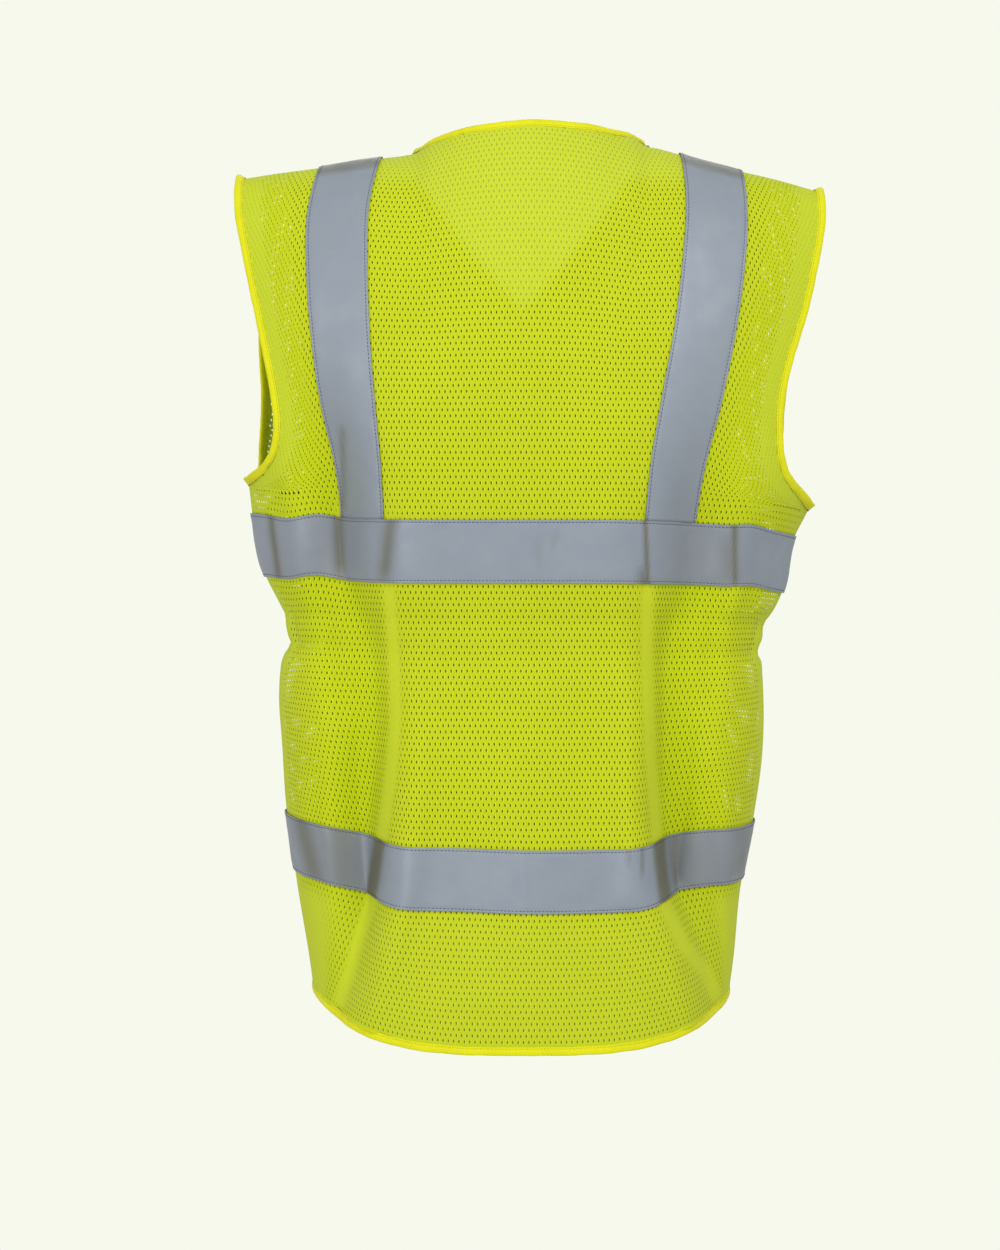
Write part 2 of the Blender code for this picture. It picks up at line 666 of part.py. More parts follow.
class Zip:
    """The centre front zip: tapes behind the fronts, the chain, the slider, its pull and the box."""

    def __init__(self, fronts, collection, tools):
        self.collection = collection
        self.tools = tools
        self.cloth = new_material("zip_tape", (0.60, 0.70, 0.02), 0.8)
        self.teeth = new_material("zip_chain", (0.05, 0.05, 0.05), 0.5)
        self.metal = new_material("zip_metal", (0.06, 0.06, 0.065), 0.4, 0.6)
        self.tape_grids = {}
        for side, grid in fronts.items():
            behind = layer(grid, MESH_WALL, ZIP_TAPE_WALL, inwards=True)
            behind = behind if side < 0 else behind[:, ::-1]
            inner = behind[:, :1].copy()
            inner[..., 0] = side * ZIP_TAPE_INNER
            tape = np.concatenate([inner, behind[:, :2]], axis=1)
            self.tape_grids[side] = tape if side < 0 else tape[:, ::-1]
        middle = joined(self.tape_grids[-1][:, 0], self.tape_grids[1][:, -1])
        # From the top of the zip down.
        self.line = middle[::-1]
        self.length = float(np.linalg.norm(np.diff(self.line, axis=0), axis=1).sum())

    def tapes(self):
        for side, grid in self.tape_grids.items():
            name = "zip_tape_" + side_name(side)
            add_sheet(name, grid, ZIP_TAPE_WALL, self.cloth, self.collection)

    def chain(self):
        """The closed chain, from the box up to the slider's post."""
        top = SLIDER_BELOW_TOP + POST_LENGTH + 2 * SEAM_GAP
        foot = self.length - BOX_LENGTH - 2 * SEAM_GAP
        steps = np.linalg.norm(np.diff(self.line, axis=0), axis=1)
        lengths = np.concatenate([[0.0], np.cumsum(steps)])
        kept = [d for d in lengths if top + SEAM_GAP < d < foot - SEAM_GAP]
        middle = np.array([along_line(self.line, d) for d in (foot, *kept[::-1], top)])
        grid = np.stack([middle, middle], axis=1)
        grid[:, 0, 0] = CHAIN_HALF
        grid[:, 1, 0] = -CHAIN_HALF
        add_sheet("zip_chain", grid, CHAIN_WALL, self.teeth, self.collection)

    def slider(self):
        """Two plates on a post, with a bail on the outer plate."""
        seat = seat_on_zip(self.line, SLIDER_BELOW_TOP, SLIDER_BELOW_TOP + SLIDER_LENGTH)
        size = (SLIDER_WIDTH, SLIDER_LENGTH, SLIDER_WALL)
        body = block("zip_slider", size, (0, 0, 0), seat, self.metal, self.collection)
        slot = (SLIDER_WIDTH * 2, SLIDER_LENGTH * 2, SLIDER_SLOT)
        combine(body, block("slot", slot, (0, 0, 0), seat, self.metal, self.tools), "DIFFERENCE")
        post = (POST_WIDTH, POST_LENGTH, (SLIDER_SLOT + SLIDER_WALL) / 2)
        at = (0, (SLIDER_LENGTH - POST_LENGTH) / 2 - SEAM_GAP, 0)
        combine(body, block("post", post, at, seat, self.metal, self.tools), "UNION")
        size = (BAIL_WIDTH, BAIL_LENGTH, BAIL_HEIGHT + BAIL_WALL / 2)
        at = (0, 0, SLIDER_WALL / 2 + size[2] / 2 - BAIL_WALL / 2)
        bail = block("bail", size, at, seat, self.metal, self.tools)
        room = (BAIL_WIDTH * 2, BAIL_LENGTH - 2 * BAIL_WALL, size[2])
        at = (0, 0, at[2] - BAIL_WALL)
        combine(bail, block("room", room, at, seat, self.metal, self.tools), "DIFFERENCE")
        combine(body, bail, "UNION")
        soften(body, SEAM_GAP)

    def pull(self):
        """A flat pull that hangs on the bail by the bar at its top, which is its hinge."""
        seat = seat_on_zip(self.line, SLIDER_BELOW_TOP, SLIDER_BELOW_TOP + SLIDER_LENGTH)
        bar_height = SLIDER_WALL / 2 + SEAM_GAP + BAR_RADIUS
        bar_at = -(BAIL_LENGTH / 2 - BAIL_WALL - SEAM_GAP - BAR_RADIUS)
        axis = seat @ Vector((0, bar_at, bar_height))
        turned = seat.to_3x3().to_4x4()
        size = (PULL_WIDTH, PULL_LENGTH, PULL_WALL)
        pull = block("zip_pull", size, (0, -PULL_LENGTH / 2, 0), turned, self.metal, self.collection)
        for vert in pull.data.vertices:
            if vert.co.dot(turned.col[1].xyz) < -PULL_LENGTH / 2:
                vert.co.x *= PULL_TIP_WIDTH / PULL_WIDTH
        soften(pull, SEAM_GAP)
        bar = bpy.data.meshes.new("bar")
        shape = bmesh.new()
        bmesh.ops.create_cone(
            shape,
            cap_ends=True,
            segments=16,
            radius1=BAR_RADIUS,
            radius2=BAR_RADIUS,
            depth=BAR_LENGTH,
        )
        bmesh.ops.rotate(shape, matrix=Matrix.Rotation(math.pi / 2, 3, "Y"), verts=shape.verts)
        bmesh.ops.transform(shape, matrix=turned, verts=shape.verts)
        shape.to_mesh(bar)
        shape.free()
        hole = (PULL_HOLE_WIDTH, PULL_HOLE_LENGTH + 2 * BAR_RADIUS, PULL_WALL * 2)
        at = (0, -PULL_HOLE_LENGTH / 2, 0)
        # The hole opens the plate's top, and the bar closes it again.
        pieces = (
            (block("hole", hole, at, turned, self.metal, self.tools), "DIFFERENCE"),
            (add_object("bar", bar, self.metal, self.tools), "UNION"),
        )
        for operand, operation in pieces:
            operand.location = axis
            combine(pull, operand, operation)
        pull.location = axis

    def box(self):
        """The insertion box that joins the two tapes' feet."""
        seat = seat_on_zip(self.line, self.length - BOX_LENGTH, self.length)
        size = (BOX_WIDTH, BOX_LENGTH, BOX_WALL)
        box = block("zip_box", size, (0, 0, 0), seat, self.metal, self.collection)
        for side in (-1, 1):
            slot = (BOX_WIDTH / 2, BOX_LENGTH * 2, BOX_SLOT)
            at = (side * (ZIP_TAPE_INNER - SEAM_GAP + BOX_WIDTH / 4), 0, 0)
            name = "slot_" + side_name(side)
            combine(box, block(name, slot, at, seat, self.metal, self.tools), "DIFFERENCE")
        soften(box, SEAM_GAP)


class Vest:
    """The panels' grids, and the pieces that are cut from them or lie on them."""

    def __init__(self, collection):
        self.collection = collection
        self.back = back_grid()
        self.fronts = {side: front_grid(side) for side in (-1, 1)}
        self.mesh = new_material("lime_mesh", (0.60, 0.70, 0.02), 0.85)
        self.binding = new_material("yellow_binding", (0.75, 0.76, 0.01), 0.7)
        self.tape = new_material("retroreflective_tape", (0.32, 0.34, 0.37), 0.45)
        self.elastic = new_material("lime_elastic", (0.62, 0.72, 0.02), 0.8)

    def front_column(self, side, place):
        """The number of a front's grid column at a place counted from the middle."""
        return place if side < 0 else PLACES - place

    def panels(self):
        add_sheet("back_panel", self.back, MESH_WALL, self.mesh, self.collection)
        for side in (-1, 1):
            name = "front_" + side_name(side)
            add_sheet(name, self.fronts[side], MESH_WALL, self.mesh, self.collection)

    def band(self, name, low):
        first, last = row_at(low), row_at(low + TAPE_WIDTH)
        pieces = {"back": self.back}
        pieces.update({side_name(side): self.fronts[side] for side in (-1, 1)})
        for place, grid in pieces.items():
            moved = layer(grid, MESH_WALL, TAPE_WALL)[first : last + 1]
            add_sheet(f"{name}_{place}", moved, TAPE_WALL, self.tape, self.collection)

    def shoulder_strips(self):
        """Each strip goes up the back from the chest band, over the seam and down the front."""
        low = row_at(CHEST_BAND_Z + TAPE_WIDTH)
        back = layer(self.back, MESH_WALL, TAPE_WALL)
        for side in (-1, 1):
            front = layer(self.fronts[side], MESH_WALL, TAPE_WALL)
            if side < 0:
                on_back = back[low:, PLACES - STRIP_LAST : PLACES - STRIP_FIRST + 1]
                on_front = front[low:, STRIP_FIRST : STRIP_LAST + 1][:, ::-1]
            else:
                on_back = back[low:, PLACES + STRIP_FIRST : PLACES + STRIP_LAST + 1]
                right = PLACES - STRIP_LAST
                on_front = front[low:, right : right + STRIP + 1][:, ::-1]
            seam = joined(on_back[-1:], on_front[-1:])
            strip = np.concatenate([on_back[:-1], seam, on_front[:-1][::-1]])
            # Both ends stop clear of the chest band.
            strip[0] += self.step(strip[0], strip[1])
            strip[-1] += self.step(strip[-1], strip[-2])
            name = "shoulder_strip_" + side_name(side)
            add_sheet(name, strip, TAPE_WALL, self.tape, self.collection)

    @staticmethod
    def step(edge, inner):
        """A seam's gap, from a row of points towards the next row."""
        towards = inner - edge
        return towards / np.linalg.norm(towards, axis=1, keepdims=True) * SEAM_GAP * 2

    def waist_elastics(self):
        """Elastic on the inside of each side waist, across the side seam."""
        first, last = row_at(WAIST_Z - ELASTIC_WIDTH / 2), row_at(WAIST_Z + ELASTIC_WIDTH / 2)
        reach = STRIP_TO_SIDE - 2
        for side in (-1, 1):
            back = layer(self.back, MESH_WALL, ELASTIC_WALL, inwards=True)
            front = layer(self.fronts[side], MESH_WALL, ELASTIC_WALL, inwards=True)
            if side < 0:
                on_back = back[first : last + 1, : reach + 1]
                on_front = front[first : last + 1, PLACES - reach :]
                seam = joined(on_front[:, -1:], on_back[:, :1])
                band = np.concatenate([on_front[:, :-1], seam, on_back[:, 1:]], axis=1)
            else:
                on_back = back[first : last + 1, 2 * PLACES - reach :]
                on_front = front[first : last + 1, : reach + 1]
                seam = joined(on_back[:, -1:], on_front[:, :1])
                band = np.concatenate([on_back[:, :-1], seam, on_front[:, 1:]], axis=1)
            name = "waist_elastic_" + side_name(side)
            add_sheet(name, band, ELASTIC_WALL, self.elastic, self.collection)

    def armhole_bindings(self):
        """A closed loop up the back's armhole, over the shoulder and down the front's."""
        for side in (-1, 1):
            back = self.back if side < 0 else self.back[:, ::-1]
            front = self.fronts[side][:, ::-1] if side < 0 else self.fronts[side]
            up = range(UNDERARM_ROW, LAST_ROW)
            down = range(LAST_ROW, UNDERARM_ROW, -1)
            around = [(back, row) for row in up] + [(front, row) for row in down]
            edge = [grid[row, 0] for grid, row in around]
            inner = [joined(grid[row, 1], grid[row - 1, 0]) for grid, row in around]
            # The underarm and the shoulder points lie between the two panels.
            edge[0] = joined(back[UNDERARM_ROW, 0], front[UNDERARM_ROW, 0])
            inner[0] = joined(back[UNDERARM_ROW - 1, 0], front[UNDERARM_ROW - 1, 0])
            top = LAST_ROW - UNDERARM_ROW
            edge[top] = joined(back[-1, 0], front[-1, 0])
            inner[top] = joined(back[-1, 1], front[-1, 1])
            if side < 0:
                edge, inner = edge[::-1], inner[::-1]
            name = "armhole_binding_" + side_name(side)
            add_binding(name, edge, inner, self.binding, self.collection, True)

    def neck_binding(self):
        """From the zip up the right arm of the V, round the back neck and down to the zip."""
        edge, inner = [], []
        for place in range(CENTRE_TO_NECK):
            i = self.front_column(1, place)
            edge.append(self.fronts[1][-1, i])
            inner.append(self.fronts[1][-2, i])
        for place in range(CENTRE_TO_NECK, -CENTRE_TO_NECK - 1, -1):
            edge.append(self.back[-1, PLACES + place])
            inner.append(self.back[-2, PLACES + place])
        for place in reversed(range(CENTRE_TO_NECK)):
            i = self.front_column(-1, place)
            edge.append(self.fronts[-1][-1, i])
            inner.append(self.fronts[-1][-2, i])
        # The neck points lie between the back and the fronts.
        for side, k in ((1, CENTRE_TO_NECK), (-1, 3 * CENTRE_TO_NECK)):
            i = self.front_column(side, CENTRE_TO_NECK)
            beside = self.front_column(side, CENTRE_TO_NECK + 1)
            at_neck = PLACES + side * CENTRE_TO_NECK
            edge[k] = joined(self.back[-1, at_neck], self.fronts[side][-1, i])
            inner[k] = joined(self.back[-1, at_neck + side], self.fronts[side][-1, beside])
        add_binding("neck_binding", edge, inner, self.binding, self.collection)

    def hem_binding(self):
        """All round the hem, from the zip to the zip."""
        edge, inner = [
            np.concatenate(
                [
                    self.fronts[-1][row, :-1],
                    joined(self.fronts[-1][row, -1:], self.back[row, :1]),
                    self.back[row, 1:-1],
                    joined(self.back[row, -1:], self.fronts[1][row, :1]),
                    self.fronts[1][row, 1:],
                ]
            )
            for row in (0, 1)
        ]
        add_binding("hem_binding", edge, inner, self.binding, self.collection)


def main():
    clear_scene()
    vest = Vest(new_collection("safety_vest"))
    vest.panels()
    vest.band("chest_band", CHEST_BAND_Z)
    vest.band("lower_band", LOWER_BAND_Z)
    vest.shoulder_strips()
    vest.waist_elastics()
    vest.armhole_bindings()
    vest.neck_binding()
    vest.hem_binding()
    zip_front = Zip(vest.fronts, vest.collection, new_collection("tools"))
    zip_front.tapes()
    zip_front.chain()
    zip_front.slider()
    zip_front.pull()
    zip_front.box()


main()
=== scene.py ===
"""Looks of a sleeveless open-mesh safety vest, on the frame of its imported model.

Metres, +Z up. The wearer's back faces -Y, where the camera stands, the front with its zip faces
+Y, and +X is the wearer's right. The cloth is one surface. A point of it is named by its quarter
(back or front, left or right), by its place, which counts column lines from the middle of the
panel, and by its nominal height, the height that it has at the middle of the back.
"""

import logging
import math
from collections.abc import Callable, Iterable
from dataclasses import dataclass, field
from enum import Enum
import bmesh  # noqa: E402
import bpy  # noqa: E402
import numpy as np  # noqa: E402
from bmesh.types import BMEdge, BMesh, BMFace, BMVert  # noqa: E402
from bpy.types import ID, Material, Mesh, Node, NodeSocket, NodeTree, Object  # noqa: E402
from mathutils import Matrix, Vector  # noqa: E402


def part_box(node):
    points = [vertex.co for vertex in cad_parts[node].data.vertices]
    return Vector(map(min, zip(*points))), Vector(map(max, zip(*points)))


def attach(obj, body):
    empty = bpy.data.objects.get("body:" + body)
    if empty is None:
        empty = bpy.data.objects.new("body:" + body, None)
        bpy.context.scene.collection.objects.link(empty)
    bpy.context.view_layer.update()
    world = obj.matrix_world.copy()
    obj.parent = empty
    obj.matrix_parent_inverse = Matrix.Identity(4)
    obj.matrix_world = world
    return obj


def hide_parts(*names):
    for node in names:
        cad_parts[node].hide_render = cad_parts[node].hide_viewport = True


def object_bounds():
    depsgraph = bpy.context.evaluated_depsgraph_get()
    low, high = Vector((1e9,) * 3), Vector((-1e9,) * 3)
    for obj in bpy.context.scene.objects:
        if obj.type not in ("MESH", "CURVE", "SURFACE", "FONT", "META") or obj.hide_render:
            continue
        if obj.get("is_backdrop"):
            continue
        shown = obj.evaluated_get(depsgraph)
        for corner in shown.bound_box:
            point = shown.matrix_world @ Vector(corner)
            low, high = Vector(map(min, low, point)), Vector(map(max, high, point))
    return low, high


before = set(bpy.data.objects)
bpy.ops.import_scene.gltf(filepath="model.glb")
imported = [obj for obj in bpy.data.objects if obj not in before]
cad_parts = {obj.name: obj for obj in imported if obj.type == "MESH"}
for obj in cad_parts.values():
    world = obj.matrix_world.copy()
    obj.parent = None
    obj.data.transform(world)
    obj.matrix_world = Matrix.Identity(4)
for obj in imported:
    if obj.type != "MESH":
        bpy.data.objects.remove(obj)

log = logging.getLogger("vest")
Array = np.ndarray

# ---- driving sizes, as in the part's source ----------------------------------------------------

TAPE_WIDTH = 0.050
ELASTIC_WIDTH = 0.025
MESH_WALL = 0.0012
SEAM_GAP = 0.0003
PANEL_GAP = 0.0005

HEM_Z = -0.7153
LOWER_BAND_Z = -0.611
WAIST_Z = -0.395
CHEST_BAND_Z = -0.350
UNDERARM_Z = -0.280
V_NECK_Z = -0.1115
NAPE_DEPTH = 0.080
NECK_LEFT_HALF = 0.0935
NECK_RIGHT_HALF = 0.1025

# How square the sections are: 2 and 0.5 would make an ellipse.
BACK_FLATNESS = 3.0
FRONT_FLATNESS = 2.5
SIDE_ROUNDNESS = 0.55
SHOULDER_ROUNDNESS = 2.6

BACK_CLIMB = 3.5
FRONT_CLIMB = 2.0
V_HOLLOW = 1.15
NAPE_SPREAD = 0.4
NECK_COLUMN_SHARE = 0.55
SIDE_CROWDING = 1.4
CREASE_INNER_SHARE = 0.62
CREASE_OUTER_WIDTH = 0.036
CREASE_RIDGE = 0.16
FOLD_FULLNESS = 0.7
FOLD_FADE_AT_SIDE = 3.0

GATHER_PITCH = 0.030
GATHER_DEPTH = 0.0018
GATHER_REACH = 0.075
GATHER_FADE = 0.020

ZIP_EDGE = 0.0050
ZIP_TAPE_INNER = 0.0032
ZIP_TAPE_OUTER = 0.0160

# Column lines, counted from the middle of a panel: the neck point, the strip's two edges, the side.
NECK_PLACE = 4
STRIP_IN_PLACE = 6
STRIP_OUT_PLACE = 8
SIDE_PLACE = 14

# Not in the part's source: the push that counts as a full fold, and a length that counts as none.
FULL_FOLD = 0.024
HAIR = 1e-7


class Named(Enum):
    """An option that the tables and the nodes name in small letters."""

    @property
    def label(self) -> str:
        """The option's name, as they have it."""
        return self.name.lower()


class Side(Named):
    """The wearer's sides, with the sign of x."""

    LEFT = -1
    RIGHT = 1


class Face(Named):
    """The back and the front of the vest, with the sign of y."""

    BACK = -1
    FRONT = 1


class Holes(Named):
    """How a stretch of knit gets its holes. The number is its material's place on a panel."""

    CUT = 0
    DRAWN = 1


@dataclass(frozen=True)
class Table:
    """A short table with a name for each column, read along its first column on a smooth curve."""

    columns: tuple[str, ...]
    rows: tuple[tuple[float, ...], ...]

    def column(self, name: str) -> Array:
        """A column's values, from the first row to the last."""
        return np.array([row[self.columns.index(name)] for row in self.rows], float)

    def at(self, name: str, x: Array | float) -> Array:
        """Read a column on the smooth curve through its values.

        Args:
            name: The column's name.
            x: Where to read it, in the unit of the table's first column.

        Returns:
            The column's value at each x.
        """
        xs = self.column(self.columns[0])
        ys = self.column(name)
        slopes = np.gradient(ys, xs)
        x = np.clip(np.asarray(x, float), xs[0], xs[-1])
        i = np.clip(np.searchsorted(xs, x) - 1, 0, len(xs) - 2)
        span = xs[i + 1] - xs[i]
        t = (x - xs[i]) / span
        start = (1 + 2 * t) * (1 - t) ** 2 * ys[i] + t * (1 - t) ** 2 * slopes[i] * span
        end = t * t * (3 - 2 * t) * ys[i + 1] - t * t * (1 - t) * slopes[i + 1] * span
        return start + end


# Half widths at the side seams, and depths from the seams' plane to the middle of each panel.
SECTIONS = Table(
    ("z", "half_left", "half_right", "depth_back", "depth_front"),
    (
        (-0.730, 0.1755, 0.1715, 0.134, 0.128),
        (-0.690, 0.1800, 0.1760, 0.135, 0.130),
        (-0.620, 0.1905, 0.1820, 0.136, 0.133),
        (-0.560, 0.1985, 0.1925, 0.135, 0.134),
        (-0.500, 0.2020, 0.2000, 0.130, 0.133),
        (-0.445, 0.2045, 0.2005, 0.122, 0.130),
        (-0.430, 0.2036, 0.1997, 0.120, 0.129),
        (-0.418, 0.2015, 0.1985, 0.118, 0.128),
        (-0.411, 0.1980, 0.1950, 0.117, 0.127),
        (-0.405, 0.1935, 0.1955, 0.117, 0.127),
        (-0.397, 0.1955, 0.1980, 0.117, 0.127),
        (-0.387, 0.1975, 0.1988, 0.118, 0.128),
        (-0.381, 0.1982, 0.2005, 0.118, 0.128),
        (-0.372, 0.2035, 0.2065, 0.120, 0.130),
        (-0.350, 0.2155, 0.2160, 0.124, 0.134),
        (-0.300, 0.2265, 0.2265, 0.131, 0.142),
        (-0.280, 0.2290, 0.2365, 0.133, 0.143),
        (-0.200, 0.2440, 0.2500, 0.135, 0.142),
        (-0.100, 0.2600, 0.2680, 0.131, 0.134),
        (0.000, 0.2800, 0.2880, 0.122, 0.122),
    ),
)

# How far the cloth hangs above or below its nominal height at the sides and the centre front.
LIFTS = Table(
    ("z", "side_left", "side_right", "centre_front"),
    (
        (-0.730, 0.034, 0.030, 0.024),
        (-0.620, 0.015, 0.012, 0.014),
        (-0.540, 0.014, 0.010, 0.008),
        (-0.395, 0.002, -0.002, 0.000),
        (-0.340, 0.004, -0.011, -0.004),
        (-0.280, 0.008, -0.013, -0.004),
    ),
)

# Both edges of each shoulder strip on the back, and below the chest band its long drape fold.
BACK_LINES = Table(
    ("z", "in_left", "out_left", "in_right", "out_right"),
    (
        (-0.730, 0.142, 0.158, 0.146, 0.160),
        (-0.660, 0.121, 0.139, 0.130, 0.148),
        (-0.600, 0.107, 0.127, 0.103, 0.124),
        (-0.550, 0.104, 0.127, 0.095, 0.116),
        (-0.450, 0.097, 0.122, 0.093, 0.114),
        (-0.395, 0.100, 0.127, 0.092, 0.117),
        (-0.350, 0.110, 0.145, 0.0935, 0.1345),
        (-0.300, 0.111, 0.147, 0.0945, 0.1365),
        (-0.260, 0.113, 0.151, 0.098, 0.142),
        (-0.200, 0.1185, 0.1635, 0.108, 0.156),
        (-0.150, 0.1225, 0.1695, 0.1175, 0.166),
        (-0.100, 0.1245, 0.1735, 0.1245, 0.174),
        (-0.050, 0.1245, 0.1745, 0.1290, 0.179),
        (0.000, 0.1165, 0.1675, 0.1280, 0.179),
    ),
)

FRONT_LINES = Table(
    ("z", "in_both", "out_both"),
    (
        (-0.730, 0.098, 0.128),
        (-0.600, 0.094, 0.126),
        (-0.450, 0.096, 0.130),
        (-0.350, 0.103, 0.148),
        (-0.280, 0.106, 0.153),
        (-0.150, 0.113, 0.162),
        (0.000, 0.122, 0.173),
    ),
)

# The cut edge of the armholes, inside their binding.
ARMHOLES = Table(
    ("z", "back_left", "back_right", "front_left", "front_right"),
    (
        (-0.2800, 0.2290, 0.2365, 0.2290, 0.2365),
        (-0.2785, 0.2262, 0.2335, 0.2268, 0.2335),
        (-0.2750, 0.2205, 0.2280, 0.2238, 0.2285),
        (-0.2690, 0.2125, 0.2195, 0.2215, 0.2215),
        (-0.2590, 0.2045, 0.2100, 0.2205, 0.2165),
        (-0.2430, 0.1975, 0.2035, 0.2205, 0.2155),
        (-0.2200, 0.1950, 0.2010, 0.2195, 0.2175),
        (-0.1880, 0.1985, 0.2025, 0.2190, 0.2190),
        (-0.1500, 0.2060, 0.2110, 0.2205, 0.2230),
        (-0.1100, 0.2140, 0.2230, 0.2205, 0.2275),
        (-0.0700, 0.2220, 0.2320, 0.2240, 0.2335),
        (-0.0300, 0.2290, 0.2390, 0.2295, 0.2390),
        (0.0000, 0.2300, 0.2400, 0.2300, 0.2400),
    ),
)

# The shoulder seams and, between the neck points, the rise that the cloth makes to the nape.
SHOULDER_LINE = Table(
    ("x", "z"),
    (
        (-0.250, -0.0190),
        (-0.205, -0.0125),
        (-0.165, -0.0075),
        (-0.140, -0.0038),
        (-0.115, -0.0002),
        (-0.098, 0.0020),
        (-0.088, 0.0045),
        (-0.078, 0.0140),
        (-0.070, 0.0210),
        (-0.045, 0.0430),
        (0.000, 0.0640),
        (0.050, 0.0455),
        (0.078, 0.0250),
        (0.090, 0.0180),
        (0.100, 0.0100),
        (0.110, 0.0078),
        (0.125, 0.0038),
        (0.150, -0.0035),
        (0.175, -0.0098),
        (0.205, -0.0165),
        (0.250, -0.0285),
    ),
)

# The long drape folds of the back: how deep the valley at each fold's foot is.
CREASES = Table(
    ("z", "depth_left", "depth_right"),
    (
        (-0.730, 0.026, 0.026),
        (-0.660, 0.034, 0.034),
        (-0.600, 0.041, 0.040),
        (-0.540, 0.039, 0.038),
        (-0.450, 0.024, 0.026),
        (-0.395, 0.020, 0.022),
        (-0.350, 0.027, 0.026),
        (-0.300, 0.029, 0.022),
        (-0.250, 0.022, 0.012),
        (-0.200, 0.011, 0.004),
        (-0.140, 0.000, 0.000),
        (0.000, 0.000, 0.000),
    ),
)


@dataclass(frozen=True)
class Fold:
    """A soft fold that runs down the cloth and dies out at both ends.

    x is the place across at the fold's upper and lower end, negative on the left.
    """

    face: Face
    z_top: float
    z_low: float
    x_top: float
    x_low: float
    half_width: float
    depth: float

    def push(self, x: Array, z: Array) -> Array:
        """How far the fold pushes the cloth in.

        Args:
            x: Signed distance from the middle.
            z: Nominal height.

        Returns:
            The push towards the wearer, in metres.
        """
        down = (self.z_top - z) / (self.z_top - self.z_low)
        middle = self.x_top + (self.x_low - self.x_top) * down
        reach = np.sin(np.pi * np.clip(down, 0, 1)) ** FOLD_FULLNESS
        across = ((x - middle) / self.half_width) ** 2
        here = (down > 0) & (down < 1) & (self.x_top * x > 0)
        return np.where(here, self.depth * reach * np.exp(-across), 0.0)


FOLDS = (
    Fold(Face.BACK, -0.270, -0.390, -0.2050, -0.1900, 0.010, 0.011),
    Fold(Face.BACK, -0.290, -0.400, 0.1950, 0.1800, 0.009, 0.009),
    Fold(Face.BACK, -0.330, -0.470, -0.1700, -0.1500, 0.012, 0.007),
    Fold(Face.BACK, -0.340, -0.460, 0.1560, 0.1500, 0.012, 0.007),
    Fold(Face.BACK, -0.500, -0.730, -0.1720, -0.1680, 0.009, 0.010),
    Fold(Face.BACK, -0.500, -0.700, 0.1500, 0.1620, 0.009, 0.008),
    Fold(Face.BACK, -0.400, -0.680, -0.0350, -0.0500, 0.030, 0.004),
    Fold(Face.BACK, -0.420, -0.720, 0.0450, 0.0600, 0.032, 0.004),
    Fold(Face.FRONT, -0.300, -0.730, -0.1300, -0.1400, 0.018, 0.022),
    Fold(Face.FRONT, -0.310, -0.730, 0.1320, 0.1300, 0.018, 0.020),
    Fold(Face.FRONT, -0.360, -0.700, -0.0700, -0.0760, 0.016, 0.008),
    Fold(Face.FRONT, -0.380, -0.730, 0.0640, 0.0780, 0.016, 0.009),
    Fold(Face.FRONT, -0.250, -0.390, -0.1950, -0.1800, 0.011, 0.010),
    Fold(Face.FRONT, -0.260, -0.390, 0.1980, 0.1820, 0.011, 0.009),
)


@dataclass(frozen=True)
class Crease:
    """A narrow line along which the cloth turns sharply, so that its holes close; along it the knit
    gets a painted highlight and the tape painted shade.

    The path gives heights from below and the place across at each, negative on the left.
    """

    heights: tuple[float, ...]
    path: tuple[float, ...]
    half_width: float
    depth: float
    strength: float
    crispness: float = 4.0
    fade: float = 0.012

    def steepness(self, x: Array, z: Array) -> Array:
        """How strongly the crease shows.

        Args:
            x: Signed distance from the middle.
            z: Nominal height.

        Returns:
            From 0, away from it, to 1 along a strong crease.
        """
        across = np.abs(x - np.interp(z, self.heights, self.path)) / self.half_width
        low = smooth_step((z - self.heights[0]) / self.fade)
        high = smooth_step((self.heights[-1] - z) / self.fade)
        return low * high * np.exp(-(across**self.crispness))


@dataclass(frozen=True)
class Sag:
    """A stretch of the cloth that hangs a little lower, or rides a little higher."""

    x: float
    z: float
    half_width: float
    half_height: float
    rise: float

    def at(self, x: Array, z: Array) -> Array:
        """How far it lifts the cloth at x and nominal height z."""
        across, up = (x - self.x) / self.half_width, (z - self.z) / self.half_height
        return self.rise * np.exp(-(across**2) - up**2)


